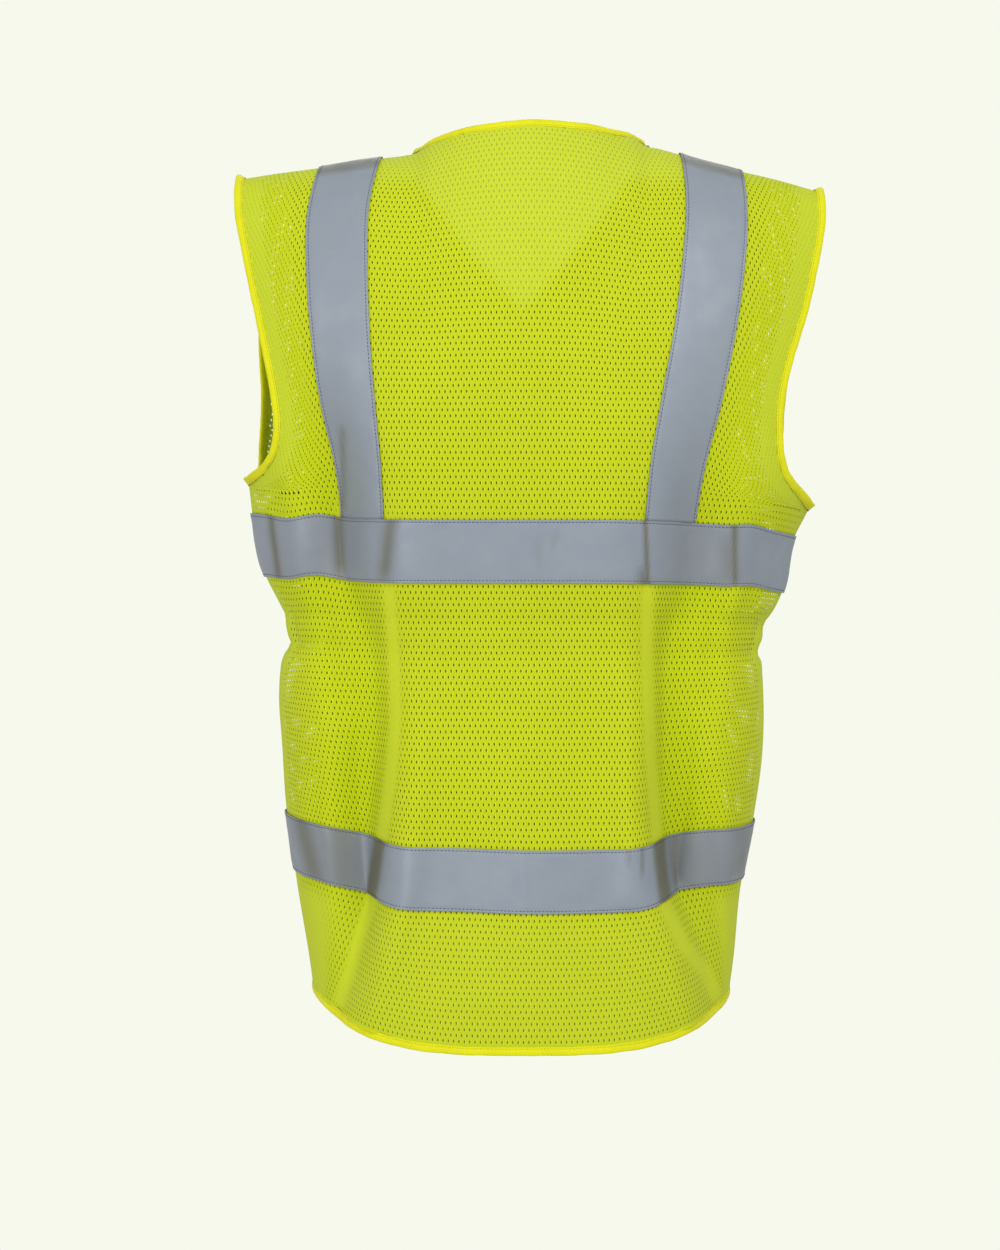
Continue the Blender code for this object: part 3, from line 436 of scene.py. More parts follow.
# Two long creases that run on down the back from the strips, and short ones across the bands.
CREASES_BACK = (
    Crease(
        (-0.720, -0.680, -0.648, -0.613, -0.577, -0.545, -0.506, -0.458, -0.423, -0.345),
        (-0.1540, -0.1423, -0.1344, -0.1233, -0.1170, -0.1123, -0.1067, -0.1028, -0.1036, -0.1082),
        0.0056,
        0.0012,
        0.85,
    ),
    Crease(
        (-0.720, -0.680, -0.648, -0.613, -0.577, -0.545, -0.490, -0.435, -0.395, -0.345),
        (0.1620, 0.1480, 0.1266, 0.1116, 0.1069, 0.1053, 0.1005, 0.0982, 0.0974, 0.0970),
        0.0058,
        0.0012,
        0.85,
    ),
    Crease((-0.356, -0.292), (-0.1985, -0.2060), 0.0035, 0.0030, 0.75, 2.0),
    Crease((-0.358, -0.280), (-0.1480, -0.1500), 0.0052, 0.0020, 0.80, 2.0, 0.022),
    Crease((-0.358, -0.286), (-0.1120, -0.1040), 0.0062, 0.0016, 0.70, 2.0, 0.020),
    Crease((-0.360, -0.288), (0.0975, 0.0935), 0.0022, 0.0012, 0.80, 2.0),
    Crease((-0.366, -0.332), (0.0950, 0.0925), 0.0060, 0.0006, 0.60, 2.0),
    Crease((-0.356, -0.292), (0.1700, 0.1680), 0.0030, 0.0025, 0.80, 2.0),
    Crease((-0.360, -0.300), (0.1660, 0.1640), 0.0080, 0.0010, 0.35, 2.0, 0.025),
    Crease((-0.616, -0.550), (-0.1680, -0.1835), 0.0085, 0.0020, 0.62, 2.0),
    Crease((-0.616, -0.550), (-0.1490, -0.1530), 0.0120, 0.0015, 0.35, 2.0),
    Crease((-0.590, -0.550), (0.0920, 0.0915), 0.0016, 0.0006, 0.45),
    Crease((-0.580, -0.545), (0.0830, 0.0800), 0.0020, 0.0004, 0.30, 2.0),
    Crease((-0.612, -0.555), (0.1240, 0.1215), 0.0060, 0.0012, 0.55, 2.0),
    Crease((-0.612, -0.555), (0.1760, 0.1800), 0.0110, 0.0010, 0.40, 2.0),
    Crease((-0.300, -0.220), (-0.1450, -0.1440), 0.0030, 0.0010, 0.50, 2.0),
    Crease((-0.330, -0.305), (0.0200, 0.0260), 0.0030, 0.0003, 0.16, 2.0),
    Crease((-0.345, -0.310), (0.0120, 0.0100), 0.0040, 0.0003, 0.12, 2.0),
)

# The flanks ride up at the lower band, and sag between the creases of the chest band.
SAGS = (
    Sag(-0.1920, -0.325, 0.0120, 0.050, -0.0028),
    Sag(-0.1640, -0.325, 0.0160, 0.050, 0.0035),
    Sag(-0.1850, -0.352, 0.0260, 0.026, 0.0026),
    Sag(0.1830, -0.325, 0.0150, 0.050, 0.0032),
    Sag(-0.1680, -0.597, 0.0520, 0.065, 0.0095),
    Sag(-0.0600, -0.586, 0.0500, 0.060, 0.0018),
    Sag(0.1430, -0.597, 0.0400, 0.065, 0.0095),
)


def smooth_step(t: Array | float) -> Array:
    """A smooth rise from 0 to 1 as t goes from 0 to 1."""
    t = np.clip(t, 0.0, 1.0)
    return t * t * (3 - 2 * t)


def lengths_along(line: Array) -> Array:
    """Distance of each point of a line from its first one."""
    return np.concatenate([[0.0], np.cumsum(np.linalg.norm(np.diff(line, axis=0), axis=1))])


def read_line(values: Array, run: Array, at: Array | float) -> Array:
    """Read values along a line at some distances.

    Args:
        values: A row of values for each point of the line.
        run: The points' own distances.
        at: The distances to read at.

    Returns:
        A row of values for each of them.
    """
    return np.stack([np.interp(at, run, column) for column in values.T], axis=-1)


def flat_map(grid: Array) -> Array:
    """Each grid point's place on the flat cloth: distance along its row, and up its column.

    Args:
        grid: Points by row and column.

    Returns:
        u and v of each point, in metres.
    """
    across = np.linalg.norm(np.diff(grid, axis=1), axis=2)
    up = np.linalg.norm(np.diff(grid, axis=0), axis=2)
    u = np.concatenate([np.zeros((grid.shape[0], 1)), np.cumsum(across, axis=1)], axis=1)
    v = np.concatenate([np.zeros((1, grid.shape[1])), np.cumsum(up, axis=0)])
    return np.stack([u, v], axis=-1)


def evened(grid: Array, row: int, step: float) -> Array:
    """Set a grid's columns at even steps along one of its rows.

    Args:
        grid: Rows across a tape and columns along it, each point first of its values.
        row: The row to measure.
        step: About how far apart the new columns lie.

    Returns:
        The new grid.
    """
    run = lengths_along(grid[row, :, :3])
    at = np.linspace(0, run[-1], round(run[-1] / step) + 1)
    return np.stack([read_line(line, run, at) for line in grid])


def shoulder_heights(count: int) -> Array:
    """Nominal heights from the underarm to the shoulder, closest where the cloth turns over it."""
    turn = np.linspace(0, math.pi / 2, count)
    return UNDERARM_Z * (1 - np.sin(turn) ** (2 / SHOULDER_ROUNDNESS))


def unit(vectors: Array) -> Array:
    """Vectors brought to a length of 1."""
    return vectors / np.maximum(np.linalg.norm(vectors, axis=-1, keepdims=True), 1e-12)


def square_to(along: Array, vectors: Array) -> Array:
    """Unit vectors: what is left of some vectors without their part along others."""
    return unit(vectors - along * (vectors * along).sum(axis=-1, keepdims=True))


@dataclass(frozen=True)
class Quarter:
    """A quarter of the vest's surface: its back or front, on one side."""

    face: Face
    side: Side

    def half_width(self, z: Array) -> Array:
        """Distance from the middle to the widest point at nominal height z."""
        return SECTIONS.at("half_" + self.side.label, z)

    def neck_half(self) -> float:
        """Distance from the middle to the neck point at the shoulder seam."""
        return NECK_LEFT_HALF if self.side is Side.LEFT else NECK_RIGHT_HALF

    def strip_line(self, edge: str, z: Array) -> Array:
        """Where the shoulder strip's edge line runs.

        Args:
            edge: "in" or "out".
            z: Nominal height.

        Returns:
            Its distance from the middle.
        """
        name = f"{edge}_{self.side.label}"
        if self.face is Face.BACK:
            return BACK_LINES.at(name, z)
        front = FRONT_LINES.at(edge + "_both", z)
        apart = BACK_LINES.at(name, 0.0) - FRONT_LINES.at(edge + "_both", 0.0)
        return front + apart * smooth_step(1 - z / UNDERARM_Z)

    def side_line(self, z: Array) -> Array:
        """Distance from the middle to the side seam or, above it, to the armhole's cut edge."""
        armhole = ARMHOLES.at(f"{self.face.label}_{self.side.label}", z)
        return np.where(z <= UNDERARM_Z, self.half_width(z), armhole)

    def neck_line(self, z: Array) -> Array:
        """Distance from the middle to the line that ends at the neck point."""
        low = NECK_COLUMN_SHARE * self.strip_line("in", z)
        return low + (self.neck_half() - low) * smooth_step(1 - z / UNDERARM_Z)

    def column_x(self, place: Array, z: Array) -> Array:
        """Distance from the middle to a column line.

        Args:
            place: The column's place, which may lie between two columns.
            z: Nominal height.

        Returns:
            The distance, in metres.
        """
        place, z = np.broadcast_arrays(np.asarray(place, float), np.asarray(z, float))
        neck = self.neck_line(z)
        strip_in = self.strip_line("in", z)
        strip_out = self.strip_line("out", z)
        if self.face is Face.BACK:
            first = neck * place / NECK_PLACE
        else:
            at_zip = ZIP_EDGE + (ZIP_TAPE_OUTER - ZIP_EDGE) * place
            beyond = ZIP_TAPE_OUTER + (neck - ZIP_TAPE_OUTER) * (place - 1) / (NECK_PLACE - 1)
            first = np.where(place <= 1, at_zip, beyond)
        second = neck + (strip_in - neck) * (place - NECK_PLACE) / (STRIP_IN_PLACE - NECK_PLACE)
        across = (place - STRIP_IN_PLACE) / (STRIP_OUT_PLACE - STRIP_IN_PLACE)
        third = strip_in + (strip_out - strip_in) * across
        half = self.half_width(z)
        turn = (place - STRIP_OUT_PLACE) / (SIDE_PLACE - STRIP_OUT_PLACE)
        low = np.arcsin(np.minimum(strip_out / half, 1.0) ** SIDE_CROWDING)
        high = np.arcsin(np.minimum(self.side_line(z) / half, 1.0) ** SIDE_CROWDING)
        angle = np.clip(low + (high - low) * turn, 0.0, math.pi / 2)
        fourth = half * np.sin(angle) ** (1 / SIDE_CROWDING)
        found = np.where(place <= NECK_PLACE, first, second)
        found = np.where(place <= STRIP_IN_PLACE, found, third)
        return np.where(place <= STRIP_OUT_PLACE, found, fourth)

    def section_depth(self, share: Array) -> Array:
        """Depth of a section at a share of its half width, as a share of its full depth."""
        flatness = BACK_FLATNESS if self.face is Face.BACK else FRONT_FLATNESS
        return np.maximum(1 - np.minimum(share, 1.0) ** flatness, 0.0) ** SIDE_ROUNDNESS

    def cut_height(self, place: Array) -> Array:
        """The nominal height of the panel's upper cut: 0 at the shoulder seam, less at the neck.

        Args:
            place: The column's place.

        Returns:
            The nominal height at which the column ends.
        """
        x_top = self.column_x(place, 0.0)
        share = np.minimum(x_top / self.neck_half(), 1.0)
        if self.face is Face.FRONT:
            return V_NECK_Z * (1 - share**V_HOLLOW)
        depth = SECTIONS.at("depth_back", 0.0) * self.section_depth(share * NAPE_SPREAD)
        roll = NAPE_DEPTH * np.sqrt(1 - share**2) / depth
        return UNDERARM_Z * (1 - (1 - roll**SHOULDER_ROUNDNESS) ** (1 / SHOULDER_ROUNDNESS))

    def lift(self, share: Array, z: Array) -> Array:
        """How far the cloth hangs off its nominal height.

        Args:
            share: Distance from the middle, as a share of the half width.
            z: Nominal height.

        Returns:
            The lift, in metres.
        """
        at_side = LIFTS.at("side_" + self.side.label, z)
        if self.face is Face.BACK:
            return at_side * share**BACK_CLIMB
        at_front = LIFTS.at("centre_front", z)
        return at_front + (at_side - at_front) * share**FRONT_CLIMB

    def steepness(self, x: Array, z: Array) -> Array:
        """How sharply the cloth turns along its creases.

        Args:
            x: Distance from the middle.
            z: Nominal height.

        Returns:
            From 0 to 1.
        """
        steep = np.zeros_like(x)
        if self.face is Face.BACK:
            for crease in CREASES_BACK:
                shown = crease.strength * crease.steepness(self.side.value * x, z)
                steep = np.maximum(steep, shown)
        return steep

    def fold_depth(self, x: Array, z: Array) -> Array:
        """How far the folds push the cloth in.

        Args:
            x: Distance from the middle.
            z: Nominal height.

        Returns:
            The push towards the wearer, in metres.
        """
        pushed = np.zeros_like(x)
        if self.face is Face.BACK:
            depth = CREASES.at("depth_" + self.side.label, z)
            ridge = self.strip_line("in", z)
            foot = self.strip_line("out", z)
            inner = (foot - ridge) * CREASE_INNER_SHARE
            width = np.where(x < foot, inner, CREASE_OUTER_WIDTH)
            pushed += depth * np.exp(-(((x - foot) / width) ** 2))
            pushed -= CREASE_RIDGE * depth * np.exp(-(((x - ridge + inner) / inner) ** 2))
            for crease in CREASES_BACK:
                pushed += crease.depth * crease.steepness(self.side.value * x, z)
        for fold in FOLDS:
            if fold.face is self.face:
                pushed += fold.push(self.side.value * x, z)
        return pushed

    def point(self, place: Array, z: Array) -> Array:
        """The cloth's points.

        Args:
            place: The columns' places.
            z: Nominal heights, of the same shape.

        Returns:
            Points, with their three coordinates in the last axis.
        """
        place, z = np.broadcast_arrays(np.asarray(place, float), np.asarray(z, float))
        x = self.column_x(place, z)
        x_top = self.column_x(place, 0.0)
        half = self.half_width(z)
        share = np.minimum(x / half, 1.0)
        y = SECTIONS.at("depth_" + self.face.label, z) * self.section_depth(share)
        y = y - self.fold_depth(x, z) * np.minimum(1.0, FOLD_FADE_AT_SIDE * (1 - share))
        arc = y + (half - x)
        near = np.exp(-(((z - WAIST_Z) / GATHER_FADE) ** 2)) * smooth_step(2 - 2 * arc / GATHER_REACH)
        waves = GATHER_DEPTH * near * np.cos(2 * math.pi * arc / GATHER_PITCH) * share**2
        below = z <= UNDERARM_Z
        rise = np.clip((z - UNDERARM_Z) / -UNDERARM_Z, 0.0, 1.0)
        x_seam = np.maximum(x_top, self.neck_half()) if self.face is Face.FRONT else x_top
        seam = SHOULDER_LINE.at("z", self.side.value * x_seam)
        low = self.lift(share, np.full_like(z, UNDERARM_Z))
        height = np.where(below, z + self.lift(share, z), z + low + (seam - low) * rise)
        y = np.where(below, y, y * (1 - rise**SHOULDER_ROUNDNESS) ** (1 / SHOULDER_ROUNDNESS))
        x = np.where(below, x + waves, x)
        height = height + sum(sag.at(self.side.value * x, z) for sag in SAGS)
        return np.stack([self.side.value * x, self.face.value * (y + PANEL_GAP / 2), height], axis=-1)


class FabricMap:
    """Where each point of the flat fabric lies on a quarter of the vest.

    u is the distance along the fabric's rows from the middle of the panel, and v the distance up
    the fabric, which equals the nominal height up to the underarm.
    """

    row_step: float = 0.002
    shares: int = 281

    def __init__(self, quarter: Quarter) -> None:
        """Measure the quarter along its columns, then along its rows.

        Args:
            quarter: The quarter to map.
        """
        self.quarter = quarter
        places = np.linspace(0, SIDE_PLACE, SIDE_PLACE * 12 + 1)
        low = np.arange(HEM_Z - 0.012, UNDERARM_Z, self.row_step)
        heights = np.concatenate([low, shoulder_heights(160)])
        columns = quarter.point(places[None, :], heights[:, None])
        climbed = UNDERARM_Z + flat_map(columns[len(low) :])[..., 1]
        v = np.concatenate([np.repeat(low[:, None], len(places), axis=1), climbed])
        self.v_low = float(v[0, 0])
        self.v_high = float(v[-1].max())
        self.rows = np.arange(self.v_low, self.v_high + self.row_step, self.row_step)
        z = np.stack([np.interp(self.rows, v[:, k], heights) for k in range(len(places))], axis=1)
        along = flat_map(quarter.point(np.broadcast_to(places, z.shape), z))[..., 0]
        self.reach = along[:, -1]
        share = np.linspace(0, 1, self.shares)
        self.place = np.stack([np.interp(share * a[-1], a, places) for a in along])
        self.z = np.stack([np.interp(share * a[-1], a, row) for a, row in zip(along, z)])

    def cut_area(self) -> float:
        """The area of the quarter's flat cut, up to its neck and shoulder, in square metres."""
        shown = self.z < np.minimum(self.quarter.cut_height(self.place), -HAIR)
        shown &= self.z > HEM_Z
        return float((shown.mean(axis=1) * self.reach).sum() * self.row_step)

    def edge(self, v: Array) -> Array:
        """The fabric's reach from the middle to the side seam or armhole, at height v."""
        return np.interp(v, self.rows, self.reach)

    def locate(self, u: Array, v: Array) -> tuple[Array, Array]:
        """Find points of the flat fabric on the vest.

        Args:
            u: Distance from the middle, 0 or more.
            v: Height on the fabric.

        Returns:
            Their places and nominal heights.
        """
        share = np.clip(u / self.edge(v), 0, 1) * (self.shares - 1)
        row = np.clip((v - self.rows[0]) / self.row_step, 0, len(self.rows) - 1)
        k = np.minimum(share.astype(int), self.shares - 2)
        j = np.minimum(row.astype(int), len(self.rows) - 2)
        s, t = share - k, row - j

        def read(table: Array) -> Array:
            """One table, read between its four nearest entries."""
            low = table[j, k] * (1 - s) + table[j, k + 1] * s
            high = table[j + 1, k] * (1 - s) + table[j + 1, k + 1] * s
            return low * (1 - t) + high * t

        return read(self.place), read(self.z)


def fold_tones(quarter: Quarter, place: Array, z: Array) -> tuple[Array, Array]:
    """How deep in a fold, and how steep along a crease, points of a quarter lie.

    Args:
        quarter: The quarter.
        place: The points' places.
        z: Their nominal heights.

    Returns:
        Both from 0 to 1.
    """
    x = quarter.column_x(place, z)
    return np.clip(quarter.fold_depth(x, z) / FULL_FOLD, 0, 1), quarter.steepness(x, z)


QUARTERS = {(face, side): Quarter(face, side) for face in Face for side in Side}
FABRIC = {key: FabricMap(quarter) for key, quarter in QUARTERS.items()}


# ---- finishes ----------------------------------------------------------------------------------


def linear(colour: str) -> tuple[float, float, float, float]:
    """Turn an sRGB hex colour into linear light.

    Args:
        colour: Such as "#D0DB36".

    Returns:
        Red, green, blue and an alpha of 1.
    """
    parts = [int(colour[i : i + 2], 16) / 255 for i in (1, 3, 5)]
    light = [c / 12.92 if c <= 0.04045 else ((c + 0.055) / 1.055) ** 2.4 for c in parts]
    return (light[0], light[1], light[2], 1.0)


def feed(tree: NodeTree, node: Node, inputs: dict) -> None:
    """Give a node its inputs.

    Args:
        tree: The material's node tree.
        node: The node.
        inputs: By socket, a value, another node's output, or a node for its first output.
    """
    for name, given in inputs.items():
        if isinstance(given, Node):
            given = next(output for output in given.outputs if output.enabled)
        if isinstance(given, NodeSocket):
            tree.links.new(given, node.inputs[name])
        else:
            node.inputs[name].default_value = given


def add_node(tree: NodeTree, kind: str, inputs: dict | None = None, **settings: object) -> Node:
    """Add a node with its settings and its inputs.

    Args:
        tree: The material's node tree.
        kind: The node's type without "ShaderNode", such as "Math".
        inputs: What feeds its inputs, by socket.
        **settings: The node's own settings.

    Returns:
        The new node.
    """
    made = tree.nodes.new("ShaderNode" + kind)
    for name, value in settings.items():
        setattr(made, name, value)
    feed(tree, made, inputs or {})
    return made


def start_material(name: str) -> tuple[Material, NodeTree, Node]:
    """A new material with an empty Principled shader.

    Args:
        name: The finish's common name.

    Returns:
        The material, its tree and its shader.
    """
    material = bpy.data.materials.new(name)
    material.use_nodes = True
    tree = material.node_tree
    return material, tree, tree.nodes["Principled BSDF"]


def start_mottled(
    name: str, colours: tuple[str, str], grain: float, detail: float
) -> tuple[Material, NodeTree, Node, Node]:
    """A new material that is mottled between two colours.

    Args:
        name: The finish's common name.
        colours: The two colours.
        grain: Spots to a metre.
        detail: How much finer than that the mottling goes.

    Returns:
        The material, its tree, its shader and the node with the mottling.
    """
    material, tree, shader = start_material(name)
    place = add_node(tree, "TexCoord").outputs["Object"]
    spots = add_node(tree, "TexNoise", {"Vector": place, "Scale": grain, "Detail": detail})
    mixed = {"A": linear(colours[0]), "B": linear(colours[1]), "Factor": spots}
    feed(tree, shader, {"Base Color": add_node(tree, "Mix", mixed, data_type="RGBA")})
    return material, tree, shader, spots


def add_tones(
    tree: NodeTree, ground: Node, colours: dict[str, str]
) -> tuple[Node, dict[str, NodeSocket]]:
    """Tint a colour where the cloth's own numbers say so.

    Args:
        tree: The material's node tree.
        ground: The node with the colour.
        colours: The colour that each number gives, by the number's name.

    Returns:
        The node with the tinted colour, and each number's output by name.
    """
    tones = {}
    for name, colour in colours.items():
        tones[name] = add_node(tree, "Attribute", attribute_name=name).outputs["Fac"]
        tinted = {"A": ground, "B": linear(colour), "Factor": tones[name]}
        ground = add_node(tree, "Mix", tinted, data_type="RGBA")
    return ground, tones


@dataclass(frozen=True)
class MeshKnit:
    """Warp-knitted polyester mesh, dyed fluorescent lime.

    The knit gives a dull, slightly hairy surface, with an upright rib beside each hole that is drawn
    lighter as a painted highlight.
    Shares are of a pair of cells across, and of a row up.
    """

    colour: str = "#C9D619"
    # Painted highlight: the upright ribs drawn lighter.
    rib_colour: str = "#D6E240"
    shade_colour: str = "#C0CC14"
    # Painted shade deep in folds, and a painted highlight along creases.
    deep_colour: str = "#C3D205"
    steep_colour: str = "#D2DE30"
    # Painted light where the knit's ground is drawn paler.
    pale_colour: str = "#CCDA33"
    # Painted shade inside the drawn holes, and painted light where the backdrop would show through
    # them.
    dark_hole: str = "#565C05"
    pale_hole: str = "#9FB03C"
    cell_width: float = 0.00213
    cell_height: float = 0.0048
    hole_width: float = 0.00112
    hole_height: float = 0.00250
    hole_middle: float = 0.25
    rib_middle: float = 0.49
    rib_share: float = 0.13
    roughness: float = 0.78
    see_through: float = 0.03

    def material(self, holes: Holes) -> Material:
        """The knit, with ribs placed by the fabric's own map beside the holes.

        Args:
            holes: Whether its holes are cut, or drawn as hollows dark with painted shade.

        Returns:
            The material.
        """
        ending = "" if holes is Holes.CUT else f"_{holes.label}_hollows"
        material, tree, shader = start_material("warp_knit_polyester_mesh" + ending)
        fabric = add_node(tree, "UVMap", uv_map="fabric")
        per_metre = (1 / self.cell_width, 1 / self.cell_height, 1)
        cells = add_node(tree, "VectorMath", {0: fabric, 1: per_metre}, operation="MULTIPLY")
        split = add_node(tree, "SeparateXYZ", {0: cells}).outputs
        row = add_node(tree, "Math", {0: split["Y"]}, operation="FLOOR")
        pair = add_node(tree, "Math", {0: split["X"], 1: row}, operation="ADD")
        half = add_node(tree, "Math", {0: pair, 1: 0.5}, operation="MULTIPLY")
        turn = add_node(tree, "Math", {0: half}, operation="FRACT")
        off_rib = add_node(tree, "Math", {0: turn, 1: self.rib_middle}, operation="SUBTRACT")
        off_rib = add_node(tree, "Math", {0: off_rib}, operation="ABSOLUTE")
        flanks = {"Value": off_rib, "From Min": self.rib_share, "From Max": 0.03}
        rib = add_node(tree, "MapRange", flanks, interpolation_type="SMOOTHSTEP")
        up = add_node(tree, "Math", {0: split["Y"]}, operation="FRACT")
        off_row = add_node(tree, "Math", {0: up, 1: 0.5}, operation="SUBTRACT")
        off_row = add_node(tree, "Math", {0: off_row}, operation="ABSOLUTE")
        ends = {"Value": off_row, "From Min": 0.46, "From Max": 0.25}
        end = add_node(tree, "MapRange", ends, interpolation_type="SMOOTHSTEP")
        rib = add_node(tree, "Math", {0: rib, 1: end}, operation="MULTIPLY")
        # Loops of yarn about 0.6 mm long, drawn a little coarser than they are.
        loops = {"Vector": fabric, "Scale": 1400.0, "Detail": 2.0, "Roughness": 0.6}
        yarn = add_node(tree, "TexNoise", loops)
        # Uneven dye and wear, in patches some 60 mm wide.
        place = add_node(tree, "TexCoord").outputs["Object"]
        worn = {"Vector": place, "Scale": 16.0, "Detail": 3.0, "Roughness": 0.55}
        patches = add_node(tree, "TexNoise", worn)
        shade = {"Value": patches, "From Min": 0.35, "From Max": 0.7, "To Max": 0.35}
        tone = add_node(tree, "MapRange", shade)
        dyed = {"A": linear(self.colour), "B": linear(self.shade_colour), "Factor": tone}
        ground = add_node(tree, "Mix", dyed, data_type="RGBA")
        # Painted shade deep in folds, a painted highlight along creases, and painted light where the
        # ground is drawn paler.
        colours = {"deep": self.deep_colour, "steep": self.steep_colour, "pale": self.pale_colour}
        ground, tones = add_tones(tree, ground, colours)
        level = {0: 1.0, 1: tones["steep"]}
        flat_rib = add_node(tree, "Math", level, operation="SUBTRACT", use_clamp=True)
        rib = add_node(tree, "Math", {0: rib, 1: flat_rib}, operation="MULTIPLY")
        # Painted highlight on the ribs.
        ribbed = {"A": ground, "B": linear(self.rib_colour), "Factor": rib}
        lit = add_node(tree, "Mix", ribbed, data_type="RGBA")
        height = add_node(tree, "Math", {0: yarn, 1: 0.35, 2: rib}, operation="MULTIPLY_ADD")
        if holes is Holes.DRAWN:
            hollow = self.hollow(tree, turn, off_row)
            sunk = {0: hollow, 1: -2.0, 2: height}
            height = add_node(tree, "Math", sunk, operation="MULTIPLY_ADD")
            # Painted shade inside the drawn holes, paler as painted light where the backdrop would show
            # through.
            seen = {"A": linear(self.dark_hole), "B": linear(self.pale_hole), "Factor": tones["pale"]}
            inside = add_node(tree, "Mix", seen, data_type="RGBA")
            lit = add_node(tree, "Mix", {"A": lit, "B": inside, "Factor": hollow}, data_type="RGBA")
        bump = add_node(tree, "Bump", {"Strength": 0.40, "Distance": 0.0003, "Height": height})
        feed(tree, shader, {"Base Color": lit, "Normal": bump, "Roughness": self.roughness})
        feed(tree, shader, {"Sheen Weight": 0.04, "Specular IOR Level": 0.12})
        through = add_node(tree, "BsdfTranslucent", {"Color": lit})
        both = add_node(tree, "MixShader", {0: self.see_through, 1: shader, 2: through})
        feed(tree, tree.nodes["Material Output"], {"Surface": both})
        return material

    def hollow(self, tree: NodeTree, turn: Node, off_row: Node) -> Node:
        """Draw the holes of every other cell.

        Args:
            tree: The material's node tree.
            turn: How far across a pair of cells each point lies, from 0 to 1.
            off_row: How far from the middle of its row, in rows.

        Returns:
            A node whose output is 1 in a hole and 0 beside it.
        """
        off = add_node(tree, "Math", {0: turn, 1: self.hole_middle}, operation="SUBTRACT")
        wide = {0: off, 1: 4 * self.cell_width / self.hole_width}
        across = add_node(tree, "Math", wide, operation="MULTIPLY")
        tall = {0: off_row, 1: 2 * self.cell_height / self.hole_height}
        up = add_node(tree, "Math", tall, operation="MULTIPLY")
        both = add_node(tree, "CombineXYZ", {"X": across, "Y": up})
        away = add_node(tree, "VectorMath", {0: both}, operation="LENGTH").outputs["Value"]
        shape = add_node(tree, "MapRange", {"Value": away, "From Min": 1.15, "From Max": 0.85})
        # Creases and the elastic draw the holes shut.
        shut = add_node(tree, "Attribute", attribute_name="shut").outputs["Fac"]
        opening = add_node(tree, "Math", {0: 1.0, 1: shut}, operation="SUBTRACT", use_clamp=True)
        return add_node(tree, "Math", {0: shape, 1: opening}, operation="MULTIPLY")


@dataclass(frozen=True)
class RetroreflectiveTape:
    """Glass beads in grey resin on woven polyester.

    The beads give a smooth, satin, slightly bluish grey, with faint cloudy mottling.
    """

    colour: str = "#949CA9"
    cloud_colour: str = "#9099A8"
    warm_colour: str = "#9C9FA4"
    # Painted shade deep in folds; along creases and the strips' crest, painted shade with a painted
    # reflection of the lime knit.
    deep_colour: str = "#84878B"
    steep_colour: str = "#66644C"
    roughness: float = 0.50

    def material(self) -> Material:
        """The tape, with clouds some 20 mm wide and grain as coarse as it needs to show.

        Returns:
            The material.
        """
        material, tree, shader = start_material("retroreflective_tape")
        place = add_node(tree, "TexCoord").outputs["Object"]
        mist = {"Vector": place, "Scale": 48.0, "Detail": 4.0, "Roughness": 0.6}
        clouds = add_node(tree, "TexNoise", mist)
        tone = add_node(tree, "MapRange", {"Value": clouds, "From Min": 0.38, "From Max": 0.66})
        cloudy = {"A": linear(self.colour), "B": linear(self.cloud_colour), "Factor": tone}
        base = add_node(tree, "Mix", cloudy, data_type="RGBA")
        # Beads are 0.05 mm; their grain is drawn at 0.8 mm.
        beads = add_node(tree, "TexNoise", {"Vector": place, "Scale": 1250.0, "Detail": 1.0})
        grain = {"Value": beads, "From Min": 0.55, "From Max": 0.8, "To Max": 0.6}
        fleck = add_node(tree, "MapRange", grain)
        warm = {"A": base, "B": linear(self.warm_colour), "Factor": fleck}
        base = add_node(tree, "Mix", warm, data_type="RGBA")
        # Painted shade: greyer deep in folds, dark olive along creases and the strips' crest, with a
        # painted reflection of the lime knit.
        base, _ = add_tones(tree, base, {"deep": self.deep_colour, "steep": self.steep_colour})
        satin = {"Value": clouds, "From Min": 0.3, "From Max": 0.7}
        satin |= {"To Min": self.roughness - 0.06, "To Max": self.roughness + 0.08}
        rough = add_node(tree, "MapRange", satin)
        bump = add_node(tree, "Bump", {"Strength": 0.12, "Distance": 0.0002, "Height": beads})
        feed(tree, shader, {"Base Color": base, "Roughness": rough, "Normal": bump})
        feed(tree, shader, {"Metallic": 0.15, "Specular IOR Level": 0.5})
        return material


